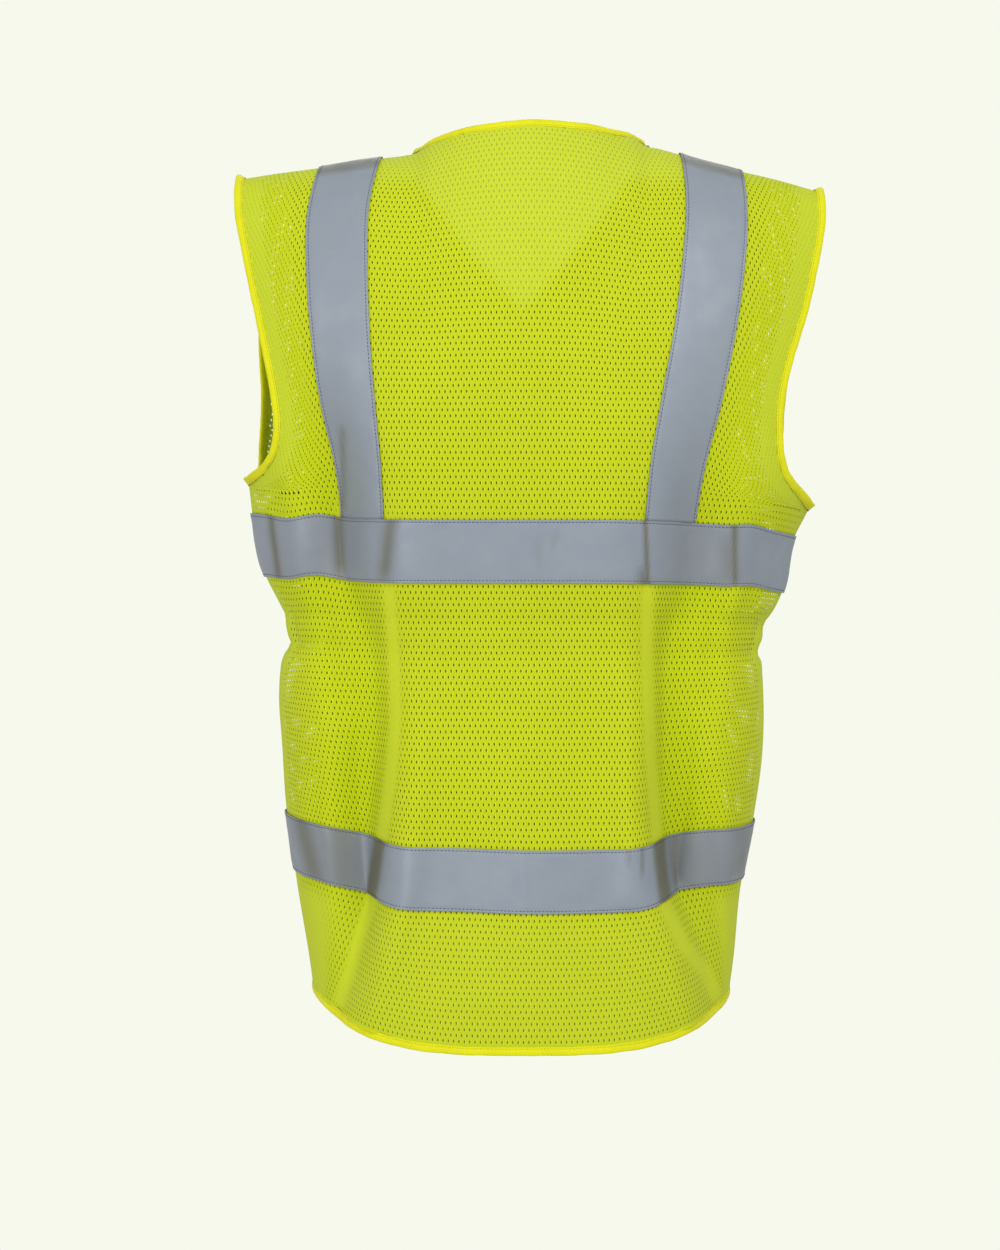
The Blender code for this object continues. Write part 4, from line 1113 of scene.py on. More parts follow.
@dataclass(frozen=True)
class WovenTape:
    """Plain narrow-woven polyester, such as binding, elastic or zip tape.

    Its weft ribs give fine lines across the tape and a soft sheen, with painted shade in the grooves
    between them. The wave texture draws some 3.2 bands to a unit where its scale is 1.
    """

    name: str
    colour: str
    shade_colour: str
    rib_pitch: float
    rib_depth: float = 0.00015
    roughness: float = 0.6
    sheen: float = 0.2
    bands_to_a_unit: float = 3.2

    def material(self) -> Material:
        """The weave, on the piece's own map: u runs along the tape and v across it.

        Returns:
            The material.
        """
        material, tree, shader = start_material(self.name)
        fabric = add_node(tree, "UVMap", uv_map="fabric")
        weft = {"Vector": fabric, "Scale": 1 / self.rib_pitch / self.bands_to_a_unit}
        weft |= {"Distortion": 0.6, "Detail": 1.0, "Detail Scale": 2.0}
        ribs = add_node(tree, "TexWave", weft, wave_type="BANDS", bands_direction="X")
        ribs = ribs.outputs["Fac"]
        place = add_node(tree, "TexCoord").outputs["Object"]
        patches = add_node(tree, "TexNoise", {"Vector": place, "Scale": 45.0, "Detail": 3.0})
        uneven = {"Value": patches, "From Min": 0.4, "From Max": 0.75, "To Max": 0.55}
        tone = add_node(tree, "MapRange", uneven)
        # Painted shade in the grooves between the weft ribs.
        between = {"Value": ribs, "From Max": 0.45, "To Min": 0.35, "To Max": 0.0}
        groove_shade = add_node(tree, "MapRange", between)
        dark = add_node(tree, "Math", {0: tone, 1: groove_shade}, operation="MAXIMUM")
        dyed = {"A": linear(self.colour), "B": linear(self.shade_colour), "Factor": dark}
        base = add_node(tree, "Mix", dyed, data_type="RGBA")
        bump = add_node(tree, "Bump", {"Strength": 0.5, "Distance": self.rib_depth, "Height": ribs})
        feed(tree, shader, {"Base Color": base, "Normal": bump, "Roughness": self.roughness})
        feed(tree, shader, {"Sheen Weight": self.sheen, "Specular IOR Level": 0.2})
        return material


@dataclass(frozen=True)
class SewingThread:
    """Twisted polyester sewing thread: a fine cord with a slight shine."""

    name: str
    colour: str
    shade_colour: str

    def material(self) -> Material:
        """The thread, mottled at random between two tones in spots about 1.1 mm across; its twist is
        0.5 mm.

        Returns:
            The material.
        """
        colours = (self.colour, self.shade_colour)
        material, tree, shader, _ = start_mottled(self.name, colours, 900.0, 2.0)
        feed(tree, shader, {"Roughness": 0.5})
        return material


@dataclass(frozen=True)
class MouldedAcetal:
    """Zip teeth moulded from dark acetal, with a dull gloss and fine flow marks."""

    colour: str = "#23262A"
    worn_colour: str = "#3A3E43"

    def material(self) -> Material:
        """The plastic, a little lighter where it has rubbed, in marks some 3 mm wide.

        Returns:
            The material.
        """
        colours = (self.colour, self.worn_colour)
        material, tree, shader, wear = start_mottled("moulded_acetal", colours, 320.0, 3.0)
        bump = add_node(tree, "Bump", {"Strength": 0.15, "Distance": 0.0001, "Height": wear})
        feed(tree, shader, {"Normal": bump, "Roughness": 0.38, "IOR": 1.48})
        return material


@dataclass(frozen=True)
class EnamelledZinc:
    """Die-cast zinc under dark baked enamel, which pools a little and rubs thin at the edges."""

    colour: str = "#2B2E33"
    thin_colour: str = "#4A4E55"

    def material(self) -> Material:
        """The enamel, with faint pits some 1.5 mm apart.

        Returns:
            The material.
        """
        colours = (self.colour, self.thin_colour)
        material, tree, shader, pits = start_mottled("enamelled_zinc", colours, 700.0, 3.0)
        gloss = {"Value": pits, "From Min": 0.3, "From Max": 0.7, "To Min": 0.22, "To Max": 0.4}
        rough = add_node(tree, "MapRange", gloss)
        bump = add_node(tree, "Bump", {"Strength": 0.1, "Distance": 0.0001, "Height": pits})
        feed(tree, shader, {"Roughness": rough, "Normal": bump, "Coat Weight": 0.4})
        return material


class Palette:
    """The vest's finishes, made once and shared by its pieces."""

    def __init__(self) -> None:
        """Make each finish's material."""
        self.knit = MeshKnit()
        self.mesh = {holes: self.knit.material(holes) for holes in Holes}
        self.tape = RetroreflectiveTape().material()
        binding = WovenTape("woven_polyester_binding", "#EDEB12", "#DAD90E", 0.0007, sheen=0.04)
        self.binding = binding.material()
        elastic = WovenTape("ribbed_elastic", "#D3DF1E", "#B4C010", 0.0016, 0.0004, 0.75)
        self.elastic = elastic.material()
        self.zip_tape = WovenTape("woven_zip_tape", "#C6D21C", "#A9B410", 0.0009).material()
        self.tape_thread = SewingThread("slate_blue_thread", "#525C78", "#434B63").material()
        self.binding_thread = SewingThread("yellow_thread", "#D2D11A", "#B7B612").material()
        self.acetal = MouldedAcetal().material()
        self.zinc = EnamelledZinc().material()


# ---- cloth and stitches as meshes --------------------------------------------------------------


def grid_normals(grid: Array) -> Array:
    """Unit normals of a grid of points, by row from below and by column, away from the wearer."""
    return unit(np.cross(np.gradient(grid, axis=1), np.gradient(grid, axis=0)))


def relief(grid: Array, height: Array) -> Array:
    """A grid of points, with each point moved out by its height."""
    return grid + grid_normals(grid) * height[..., None]


def mesh_from(shape: BMesh, name: str) -> Mesh:
    """Turn a shape into a mesh, and let the shape go.

    Args:
        shape: The shape.
        name: The mesh's name.

    Returns:
        The mesh.
    """
    mesh = bpy.data.meshes.new(name)
    shape.to_mesh(mesh)
    shape.free()
    return mesh


def get_points(mesh: Mesh) -> Array:
    """A mesh's vertices, each as a row of x, y and z."""
    points = np.empty(len(mesh.vertices) * 3, np.float32)
    mesh.vertices.foreach_get("co", points)
    return points.reshape(-1, 3)


def set_points(mesh: Mesh, points: Array) -> None:
    """Move a mesh's vertices."""
    mesh.vertices.foreach_set("co", points.astype(np.float32).ravel())


def place_in_scene(name: str, data: ID) -> Object:
    """Put a mesh, a camera or a light in the scene under a name."""
    made = bpy.data.objects.new(name, data)
    bpy.context.scene.collection.objects.link(made)
    return made


def finish_piece(name: str, mesh: Mesh, material: Material, sharp: float = 60.0) -> Object:
    """Put a mesh in the scene as a smooth-shaded piece.

    Args:
        name: The piece's name.
        mesh: Its mesh, with its place in it.
        material: Its finish.
        sharp: Edges that turn by more degrees than this stay crisp.

    Returns:
        The new object.
    """
    made = place_in_scene(name, mesh)
    mesh.materials.append(material)
    mesh.shade_smooth()
    mesh.set_sharp_from_angle(angle=math.radians(sharp))
    return made


def write_map(mesh: Mesh, flat: Array) -> None:
    """Give a mesh its "fabric" UV map.

    Args:
        mesh: The mesh.
        flat: u and v in metres for each vertex.
    """
    layer = mesh.uv_layers.new(name="fabric")
    corners = np.empty(len(mesh.loops), int)
    mesh.loops.foreach_get("vertex_index", corners)
    layer.data.foreach_set("uv", flat[corners].astype(np.float32).ravel())


def write_tones(mesh: Mesh, tones: dict[str, Array]) -> None:
    """Give a mesh's vertices numbers from 0 to 1 that its material reads by name."""
    for name, tone in tones.items():
        layer = mesh.attributes.new(name, "FLOAT", "POINT")
        layer.data.foreach_set("value", tone.astype(np.float32).ravel())


def sheet_from_grid(
    name: str,
    grid: Array,
    material: Material,
    wall: float,
    closed: bool = False,
    flat: Array | None = None,
    tones: dict[str, Array] | None = None,
) -> Object:
    """A thin sheet of cloth through a grid of points, with its wall as a Solidify modifier.

    Args:
        name: The piece's name.
        grid: Points by row and column, with the outer face towards grid_normals.
        material: Its finish.
        wall: Its thickness, in metres.
        closed: Whether the last row lies on the first.
        flat: Its flat map, worked out from the grid if it isn't given.
        tones: Numbers for its material to read, by name, each a grid like the points.

    Returns:
        The new object.
    """
    across, up = grid.shape[1] - 1, grid.shape[0] - 1
    shape = bmesh.new()
    bmesh.ops.create_grid(shape, x_segments=across, y_segments=up, size=1.0)
    mesh = mesh_from(shape, name)
    at = get_points(mesh)
    i = np.rint((at[:, 0] + 1) / 2 * across).astype(int)
    j = np.rint((at[:, 1] + 1) / 2 * up).astype(int)
    set_points(mesh, grid[j, i])
    write_map(mesh, (flat_map(grid) if flat is None else flat)[j, i])
    write_tones(mesh, {title: tone[j, i] for title, tone in (tones or {}).items()})
    if closed:
        shape = bmesh.new()
        shape.from_mesh(mesh)
        bmesh.ops.remove_doubles(shape, verts=shape.verts, dist=1e-6)
        shape.to_mesh(mesh)
        shape.free()
    made = finish_piece(name, mesh, material)
    solidify = made.modifiers.new("wall", "SOLIDIFY")
    solidify.thickness = wall
    solidify.offset = 0.0
    return made


def crinkle(u: Array, v: Array, size: float, seed: int) -> Array:
    """Soft uneven ripples, the same on each run.

    Args:
        u: Distance along the cloth.
        v: Distance up the cloth.
        size: About how far apart the ripples are.
        seed: Which set of ripples.

    Returns:
        A height between about -1 and 1.
    """
    chance = np.random.default_rng(seed)
    total = np.zeros(np.broadcast(u, v).shape)
    for _ in range(7):
        angle = chance.uniform(0, 2 * math.pi)
        length = size * chance.uniform(0.7, 1.9)
        turn = 2 * math.pi * (u * math.cos(angle) + v * math.sin(angle)) / length
        total += np.sin(turn + chance.uniform(0, 2 * math.pi))
    return total / 4


@dataclass
class Stitching:
    """Rows of lockstitches that lie on the cloth.

    Fields give a stitch's length from hole to hole, how much of it shows, its thickness, and
    how far it sinks into the cloth.
    """

    pitch: float = 0.0030
    shown: float = 0.82
    thickness: float = 0.00055
    sunk: float = 0.00012
    rows: list[tuple[Array, Array]] = field(default_factory=list)

    def add(self, line: Array, normals: Array) -> None:
        """Sew along a line.

        Args:
            line: Points on the cloth's outer face.
            normals: The cloth's normals there.
        """
        run = lengths_along(line)
        count = max(int(run[-1] / self.pitch), 1)
        at = (np.arange(count) + 0.5) * run[-1] / count
        reach = self.pitch * self.shown / 2
        ahead, behind = np.minimum(at + reach, run[-1]), np.maximum(at - reach, 0)
        along = unit(read_line(line, run, ahead) - read_line(line, run, behind))
        out = square_to(along, read_line(normals, run, at))
        frames = np.stack([along, np.cross(out, along), out], axis=2)
        self.rows.append((read_line(line, run, at) + out * (self.thickness / 2 - self.sunk), frames))

    def build(self, name: str, material: Material) -> Object:
        """Make all the stitches as one mesh.

        Args:
            name: The piece's name.
            material: The thread.

        Returns:
            The new object.
        """
        centres, frames = (np.concatenate(part) for part in zip(*self.rows))
        one = bmesh.new()
        bmesh.ops.create_icosphere(one, subdivisions=1, radius=0.5)
        size = (self.pitch * self.shown, self.thickness, self.thickness)
        bmesh.ops.scale(one, vec=Vector(size), verts=one.verts)
        stitch = mesh_from(one, "stitch")
        many = bmesh.new()
        for _ in centres:
            many.from_mesh(stitch)
        mesh = mesh_from(many, name)
        set_points(mesh, np.einsum("kij,nj->kni", frames, get_points(stitch)) + centres[:, None, :])
        bpy.data.meshes.remove(stitch)
        return finish_piece(name, mesh, material, sharp=180.0)


def dress(piece: Object, nodes: Iterable[str] = ()) -> None:
    """Let a piece ride on the vest's body and stand for its nodes.

    Args:
        piece: The piece.
        nodes: CAD nodes that it replaces.
    """
    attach(piece, "vest")
    if nodes:
        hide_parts(*nodes)
    log.info("%s: %d faces", piece.name, len(piece.data.polygons))


# ---- the vest's pieces -------------------------------------------------------------------------


@dataclass
class MeshPanels:
    """The back and the two fronts, of one open mesh with its holes cut near the sides.

    The holes are cut between a panel's cut_places, except where the camera sees them below
    fronts_hem_z on the fronts, which lie at fronts_y. Reaches are in places, fades in metres.
    """

    palette: Palette
    hole_shoulder: float = 0.00120
    gap_share: float = 0.2
    cut_places: dict[Face, tuple[float, float]] = field(
        default_factory=lambda: {Face.BACK: (9.4, 12.3), Face.FRONT: (10.6, 13.7)}
    )
    fronts_y: float = 0.115
    fronts_hem_z: float = -0.600
    v_softness: float = 0.022
    under_binding: float = 0.0026
    drawn_in_reach: float = 4.2
    drawn_in_fade: float = 0.004
    aside_reach: float = 1.2
    flank_place: float = 8.6
    flank_fade: float = 0.02
    hem_fade: float = 0.03

    def locate(self, face: Face, sides: tuple[Side, ...], flat: Array) -> tuple[Array, ...]:
        """Find points of a panel's flat fabric on the vest, kept inside the panel's cut.

        Args:
            face: The panel's face.
            sides: The sides that it covers.
            flat: Signed distance from the middle and height on the fabric, for each point.

        Returns:
            Points, places, nominal heights, and whether each lies inside the cut.
        """
        points = np.zeros((len(flat), 3))
        places, heights = np.zeros(len(flat)), np.zeros(len(flat))
        inside = np.zeros(len(flat), bool)
        for side in sides:
            here = np.ones(len(flat), bool)
            if len(sides) > 1:
                here = flat[:, 0] < 0 if side is Side.LEFT else flat[:, 0] >= 0
            quarter, fabric = QUARTERS[face, side], FABRIC[face, side]
            reach, v = np.abs(flat[here, 0]), flat[here, 1]
            place, z = fabric.locate(reach, v)
            cut = quarter.cut_height(place)
            inside[here] = (reach < fabric.edge(v) - HAIR) & (z < cut - HAIR) & (z > HEM_Z + HAIR)
            z = np.clip(z, HEM_Z, cut)
            points[here], places[here], heights[here] = quarter.point(place, z), place, z
        return points, places, heights, inside

    def covered(self, place: Array, z: Array) -> Array:
        """Whether tape lies over each point, so that no hole shows there.

        Args:
            place: The points' places.
            z: Their nominal heights.

        Returns:
            True where tape lies.
        """
        hidden = (place > STRIP_IN_PLACE) & (place < STRIP_OUT_PLACE) & (z > CHEST_BAND_Z)
        for low in (LOWER_BAND_Z, CHEST_BAND_Z):
            hidden |= (z > low) & (z < low + TAPE_WIDTH)
        return hidden

    def on_seam(self, face: Face, place: Array, z: Array) -> Array:
        """Whether each point lies on a side seam, a shoulder seam or the zip, not on a bound edge."""
        side = (place > SIDE_PLACE - 1e-6) & (z < UNDERARM_Z + 1e-9)
        zip_edge = (place < 1e-6) & (face is Face.FRONT)
        return side | zip_edge | (z > -HAIR)

    def beyond(self, point: Array) -> Array:
        """Where the camera's line through points of the back comes to the fronts."""
        eye = np.array(Studio.camera_at)
        reach = (self.fronts_y - eye[1]) / (point[..., 1:2] - eye[1])
        return eye + (point - eye) * reach

    def pale(self, point: Array) -> Array:
        """How pale the holes are drawn, as painted light from the backdrop beyond: more where the
        camera looks out over the fronts' V.

        Args:
            point: Points of the back.

        Returns:
            From 0 to 1.
        """
        seen = self.beyond(point)
        share = np.minimum(np.abs(seen[..., 0]) / QUARTERS[Face.FRONT, Side.LEFT].neck_half(), 1.0)
        above = seen[..., 2] - V_NECK_Z * (1 - share**V_HOLLOW)
        return smooth_step(above / self.v_softness + 0.5)

    def holes_at(self, face: Face, point: Array, place: float) -> Holes:
        """How the holes are made at a point of a panel.

        The photograph shows light through the mesh only near its sides, above the lower band.
        The holes are cut there and drawn elsewhere, dark with painted shade.

        Args:
            face: The panel's face.
            point: The point.
            place: Its place.

        Returns:
            The kind of hole.
        """
        first, last = self.cut_places[face]
        seen = self.beyond(point) if face is Face.BACK else point
        return Holes.CUT if first < place < last and seen[2] > self.fronts_hem_z else Holes.DRAWN

    def open_holes(self, shape: BMesh, cells: list[BMFace]) -> None:
        """Cut an upright six-sided hole in each of some cells of the flat fabric.

        Args:
            shape: The flat fabric.
            cells: The cells to open.
        """
        knit = self.palette.knit
        bmesh.ops.inset_individual(shape, faces=cells, thickness=knit.cell_width * self.gap_share)
        half = Vector((knit.hole_width, self.hole_shoulder)) / 2
        ends = []
        for cell in cells:
            middle = cell.calc_center_median()
            for vert in cell.verts:
                vert.co.x = middle.x + math.copysign(half.x, vert.co.x - middle.x)
                vert.co.y = middle.y + math.copysign(half.y, vert.co.y - middle.y)
            ends += [e for e in cell.edges if abs(e.verts[0].co.y - e.verts[1].co.y) < HAIR]
        bmesh.ops.delete(shape, geom=cells, context="FACES_ONLY")
        tips = bmesh.ops.subdivide_edges(shape, edges=ends, cuts=1)["geom_inner"]
        reach = (knit.hole_height - self.hole_shoulder) / 2
        for tip in tips:
            if isinstance(tip, BMVert):
                beyond = sum(f.calc_center_median().y for f in tip.link_faces) / len(tip.link_faces)
                tip.co.y += math.copysign(reach, beyond - tip.co.y)

    def allowance(
        self, shape: BMesh, outline: list[BMEdge]
    ) -> list[tuple[int, int, list[int], list[int]]]:
        """Extrude the bound edges, for the part of the mesh that lies inside the binding.

        Args:
            shape: The flat fabric.
            outline: Its bound edges.

        Returns:
            For each new vertex its own number, its edge vertex's, and those of the vertices
            beside it on the edge and inside it.
        """
        bound = set(outline)
        around: dict[BMVert, tuple[list, list]] = {}
        for vert in {v for edge in outline for v in edge.verts}:
            beside = [e.other_vert(vert) for e in vert.link_edges if e in bound]
            inner = [v for f in vert.link_faces for v in f.verts if v is not vert and v not in beside]
            around[vert] = (beside, inner or beside)
        made = bmesh.ops.extrude_edge_only(shape, edges=outline)["geom"]
        shape.verts.index_update()
        found = []
        for new in (g for g in made if isinstance(g, BMVert)):
            base = next(e.other_vert(new) for e in new.link_edges if e.other_vert(new) in around)
            beside, inner = around[base]
            found.append((new.index, base.index, [v.index for v in beside], [v.index for v in inner]))
        return found

    def flat_fabric(self, face: Face, sides: tuple[Side, ...]) -> BMesh:
        """Lay out a panel's fabric, a face for each cell of the knit, with the middle at x 0.

        Args:
            face: The panel's face.
            sides: The sides that it covers.

        Returns:
            The flat fabric, larger than the cut.
        """
        knit = self.palette.knit
        widest = {side: float(FABRIC[face, side].reach.max()) for side in sides}
        first = -math.ceil(widest.get(Side.LEFT, 0.0) / knit.cell_width)
        last = math.ceil(widest.get(Side.RIGHT, 0.0) / knit.cell_width)
        low = math.floor(HEM_Z / knit.cell_height)
        high = math.ceil(max(FABRIC[face, side].v_high for side in sides) / knit.cell_height)
        shape = bmesh.new()
        bmesh.ops.create_grid(shape, x_segments=last - first, y_segments=high - low, size=0.5)
        size = Vector(((last - first) * knit.cell_width, (high - low) * knit.cell_height, 1.0))
        middle = Vector(((first + last) * knit.cell_width, (low + high) * knit.cell_height, 0.0)) / 2
        bmesh.ops.scale(shape, vec=size, verts=shape.verts)
        bmesh.ops.translate(shape, vec=middle, verts=shape.verts)
        shape.verts.index_update()
        return shape

    def cut_panel(self, name: str, face: Face, sides: tuple[Side, ...]) -> Object:
        """Cut one panel and its holes, and hang it in its place.

        Args:
            name: The panel's node.
            face: Its face.
            sides: The sides that it covers.

        Returns:
            The new piece.
        """
        knit = self.palette.knit
        shape = self.flat_fabric(face, sides)
        flat = np.array([vert.co[:2] for vert in shape.verts])
        points, place, z, inside = self.locate(face, sides, flat)
        covered, seam = self.covered(place, z), self.on_seam(face, place, z)
        sewn = {vert for vert in shape.verts if seam[vert.index]}
        cells, outside = [], []
        for cell in shape.faces:
            corners = [v.index for v in cell.verts]
            centre = cell.calc_center_median()
            parity = math.floor(centre.x / knit.cell_width) + math.floor(centre.y / knit.cell_height)
            holes = self.holes_at(face, points[corners].mean(axis=0), float(place[corners].mean()))
            cell.material_index = holes.value
            whole = inside[corners].all() and not covered[corners].all()
            if not inside[corners].any():
                outside.append(cell)
            elif holes is Holes.CUT and parity % 2 == 0 and whole:
                cells.append(cell)
        bmesh.ops.delete(shape, geom=outside, context="FACES")
        outline = [e for e in shape.edges if e.is_boundary and not sewn.issuperset(e.verts)]
        self.open_holes(shape, cells)
        rim = self.allowance(shape, outline)
        mesh = mesh_from(shape, name)
        flat = get_points(mesh)[:, :2].astype(float)
        points, place, z, _ = self.locate(face, sides, flat)
        for new, base, beside, inner in rim:
            away = points[base] - points[inner].mean(axis=0)
            line = points[beside[-1]] - points[beside[0] if len(beside) > 1 else base]
            points[new] = points[base] + square_to(unit(line), away) * self.under_binding
        set_points(mesh, points)
        write_map(mesh, flat)
        write_tones(mesh, self.tones(face, points, place, z))
        if face is Face.FRONT:
            mesh.flip_normals()
        panel = finish_piece(name + "_knit", mesh, self.palette.mesh[Holes.CUT], sharp=180.0)
        mesh.materials.append(self.palette.mesh[Holes.DRAWN])
        return panel

    def tones(self, face: Face, points: Array, place: Array, z: Array) -> dict[str, Array]:
        """Where folds, creases, the elastic and what lies beyond change the knit's looks, with painted
        shade and painted light.

        Args:
            face: The panel's face.
            points: Its vertices.
            place: Their places.
            z: Their nominal heights.

        Returns:
            How deep in a fold, steep, drawn shut and pale each vertex is, from 0 to 1.
        """
        # deep and steep drive the material's painted shade in folds, and its painted highlight and
        # shade along creases.
        deep, steep = np.zeros(len(z)), np.zeros(len(z))
        for side in Side:
            here = points[:, 0] * side.value >= 0
            deep[here], steep[here] = fold_tones(QUARTERS[face, side], place[here], z[here])
        off_elastic = np.abs(z - WAIST_Z) - ELASTIC_WIDTH / 2
        drawn_in = smooth_step((place - SIDE_PLACE + self.drawn_in_reach) * 1.5)
        drawn_in *= 1 - smooth_step(off_elastic / self.drawn_in_fade)
        last_cut = self.cut_places[face][1]
        aside = smooth_step((place - last_cut + self.aside_reach) / 1.4) * 0.8
        flank = smooth_step((place - self.flank_place) / 1.6)
        flank *= smooth_step((LOWER_BAND_Z - z) / self.flank_fade)
        hem = smooth_step((LOWER_BAND_Z + self.hem_fade / 3 - z) / self.hem_fade)
        shut = np.maximum.reduce([steep * 1.25, drawn_in * 0.85, aside * 0.7, flank * 0.85])
        # Painted light: the ground is drawn paler towards the sides, on the flanks below the lower band
        # and at the hem; on the back the holes are also drawn paler where the camera looks out over the
        # fronts' V.
        pale = np.maximum.reduce([aside, flank * 0.8, hem * 0.3])
        if face is Face.BACK:
            pale = np.maximum(self.pale(points), pale)
        return {"deep": deep, "steep": steep, "shut": shut, "pale": pale}

    def build(self) -> None:
        """Cut and dress the three panels."""
        cuts = {
            "back_panel": (Face.BACK, (Side.LEFT, Side.RIGHT)),
            "front_left": (Face.FRONT, (Side.LEFT,)),
            "front_right": (Face.FRONT, (Side.RIGHT,)),
        }
        for name, (face, sides) in cuts.items():
            panel = self.cut_panel(name, face, sides)
            dress(panel, [name])
            fabrics = [FABRIC[face, side] for side in sides]
            area = sum(fabric.cut_area() for fabric in fabrics)


@dataclass
class ReflectiveTapes:
    """The two bands and the two shoulder strips, sewn down along both edges."""

    palette: Palette
    wall: float = 0.0006
    off_cloth: float = MESH_WALL / 2 + SEAM_GAP + 0.0005
    stitch_inset: float = 0.0021
    stitch_row: int = 3
    trough: float = 0.00026
    crest_depth: float = 0.0170
    crest_fade: float = 0.0080
    # Painted shade on the strips' crest, and the share of a fold's depth painted as shade on bands and
    # strips.
    crest_tone: float = 0.62
    band_deep_share: float = 0.45
    strip_deep_share: float = 0.35
    along_step: float = 0.0024

    def across(self) -> Array:
        """Distances from the lower edge to each row of points, close together at the stitching."""
        low = [0.0, 0.0008, 0.0015, 0.0021, 0.0027, 0.0036, 0.0055, 0.0085, 0.0125, 0.0165, 0.0207]
        return np.concatenate([low, [TAPE_WIDTH / 2], TAPE_WIDTH - np.array(low[::-1])])

    def surface(self, grid: Array, seed: int) -> Array:
        """The tape's own relief: sewn-down edges, puckers between stitches and soft ripples.

        Args:
            grid: Points on the cloth, rows across the tape and columns along it.
            seed: Which ripples it gets.

        Returns:
            The middle of the tape.
        """
        u = flat_map(grid)[..., 0]
        b = np.broadcast_to(self.across()[:, None], u.shape)
        edge = np.minimum(b, TAPE_WIDTH - b)
        near = np.exp(-(((edge - self.stitch_inset) / 0.0012) ** 2))
        pucker = 0.85 + 0.15 * np.cos(2 * math.pi * u / Stitching.pitch)
        height = self.off_cloth - self.trough * near * pucker
        height += 0.00022 * np.exp(-(edge / 0.012)) * crinkle(u, b, 0.011, seed)
        height += 0.00030 * smooth_step(edge / 0.008) * crinkle(u, b, 0.045, seed + 1)
        return relief(grid, height)

    def sew(self, name: str, grid: Array, deep_share: float) -> None:
        """Make a tape and its stitches.

        Args:
            name: The tape's node.
            grid: Rows across the tape and columns along it; for each a point on the cloth, and
                how deep in a fold and how steep along a crease it lies.
            deep_share: How much of a fold's depth is painted as shade.
        """
        # Painted shade on the tape: a share of each fold's depth, and the creases' steepness.
        tones = {"deep": grid[..., 3] * deep_share, "steep": grid[..., 4]}
        grid = grid[..., :3]
        middle = self.surface(grid, sum(ord(c) for c in name))
        tape = sheet_from_grid(name + "_tape", middle, self.palette.tape, self.wall, tones=tones)
        dress(tape, [name])
        normals = grid_normals(middle)
        outer = middle + normals * self.wall / 2
        stitches = Stitching()
        for row in (self.stitch_row, -1 - self.stitch_row):
            stitches.add(outer[row], normals[row])
        thread = stitches.build(name + "_thread", self.palette.tape_thread)
        dress(thread)

    def part_grid(self, quarter: Quarter, place: Array, z: Array) -> Array:
        """Points of a quarter, each with its two fold tones."""
        place, z = np.broadcast_arrays(place, z)
        tones = np.stack(fold_tones(quarter, place, z), axis=-1)
        return np.concatenate([quarter.point(place, z), tones], axis=-1)

    def band(self, name: str, low: float) -> None:
        """Sew one band to the back and to both fronts.

        Args:
            name: The band's name.
            low: Nominal height of its lower edge.
        """
        v = low + self.across()
        parts = {}
        for key, fabric in FABRIC.items():
            reach = fabric.edge(v)
            share = np.linspace(0, 1, round(float(reach.mean()) / self.along_step) + 1)
            height = np.repeat(v[:, None], len(share), axis=1)
            place, z = fabric.locate(share[None, :] * reach[:, None], height)
            parts[key] = self.part_grid(QUARTERS[key], place, z)
        left, right = parts[Face.BACK, Side.LEFT], parts[Face.BACK, Side.RIGHT]
        back = np.concatenate([left[:, :0:-1], right], axis=1)
        self.sew(name + "_back", back, self.band_deep_share)
        self.sew(name + "_left", parts[Face.FRONT, Side.LEFT], self.band_deep_share)
        self.sew(name + "_right", parts[Face.FRONT, Side.RIGHT][:, ::-1], self.band_deep_share)

    def strip(self, side: Side) -> None:
        """Sew one strip up the back, over the shoulder and down the front.

        Args:
            side: The wearer's side.
        """
        low = CHEST_BAND_Z + TAPE_WIDTH + 0.0001
        heights = np.concatenate([np.linspace(low, UNDERARM_Z, 30)[:-1], shoulder_heights(400)])
        place = STRIP_IN_PLACE + (STRIP_OUT_PLACE - STRIP_IN_PLACE) * self.across() / TAPE_WIDTH
        crest = smooth_step((heights + self.crest_depth) / self.crest_fade)
        back, front = (
            self.part_grid(QUARTERS[face, side], place[:, None], heights[None, :]) for face in Face
        )
        # Painted shade where the strip turns over the shoulder's crest.
        for rows in (back, front):
            rows[..., 4] = np.maximum(rows[..., 4], self.crest_tone * crest)
        ridge = (back[:, -1:] + front[:, -1:]) / 2
        whole = np.concatenate([back[:, :-1], ridge, front[:, -2::-1]], axis=1)
        grid = evened(whole, len(place) // 2, self.along_step)
        grid = grid[:, ::-1] if side is Side.RIGHT else grid
        self.sew("shoulder_strip_" + side.label, grid, self.strip_deep_share)

    def build(self) -> None:
        """Sew both bands and both strips."""
        self.band("chest_band", CHEST_BAND_Z)
        self.band("lower_band", LOWER_BAND_Z)
        for side in Side:
            self.strip(side)


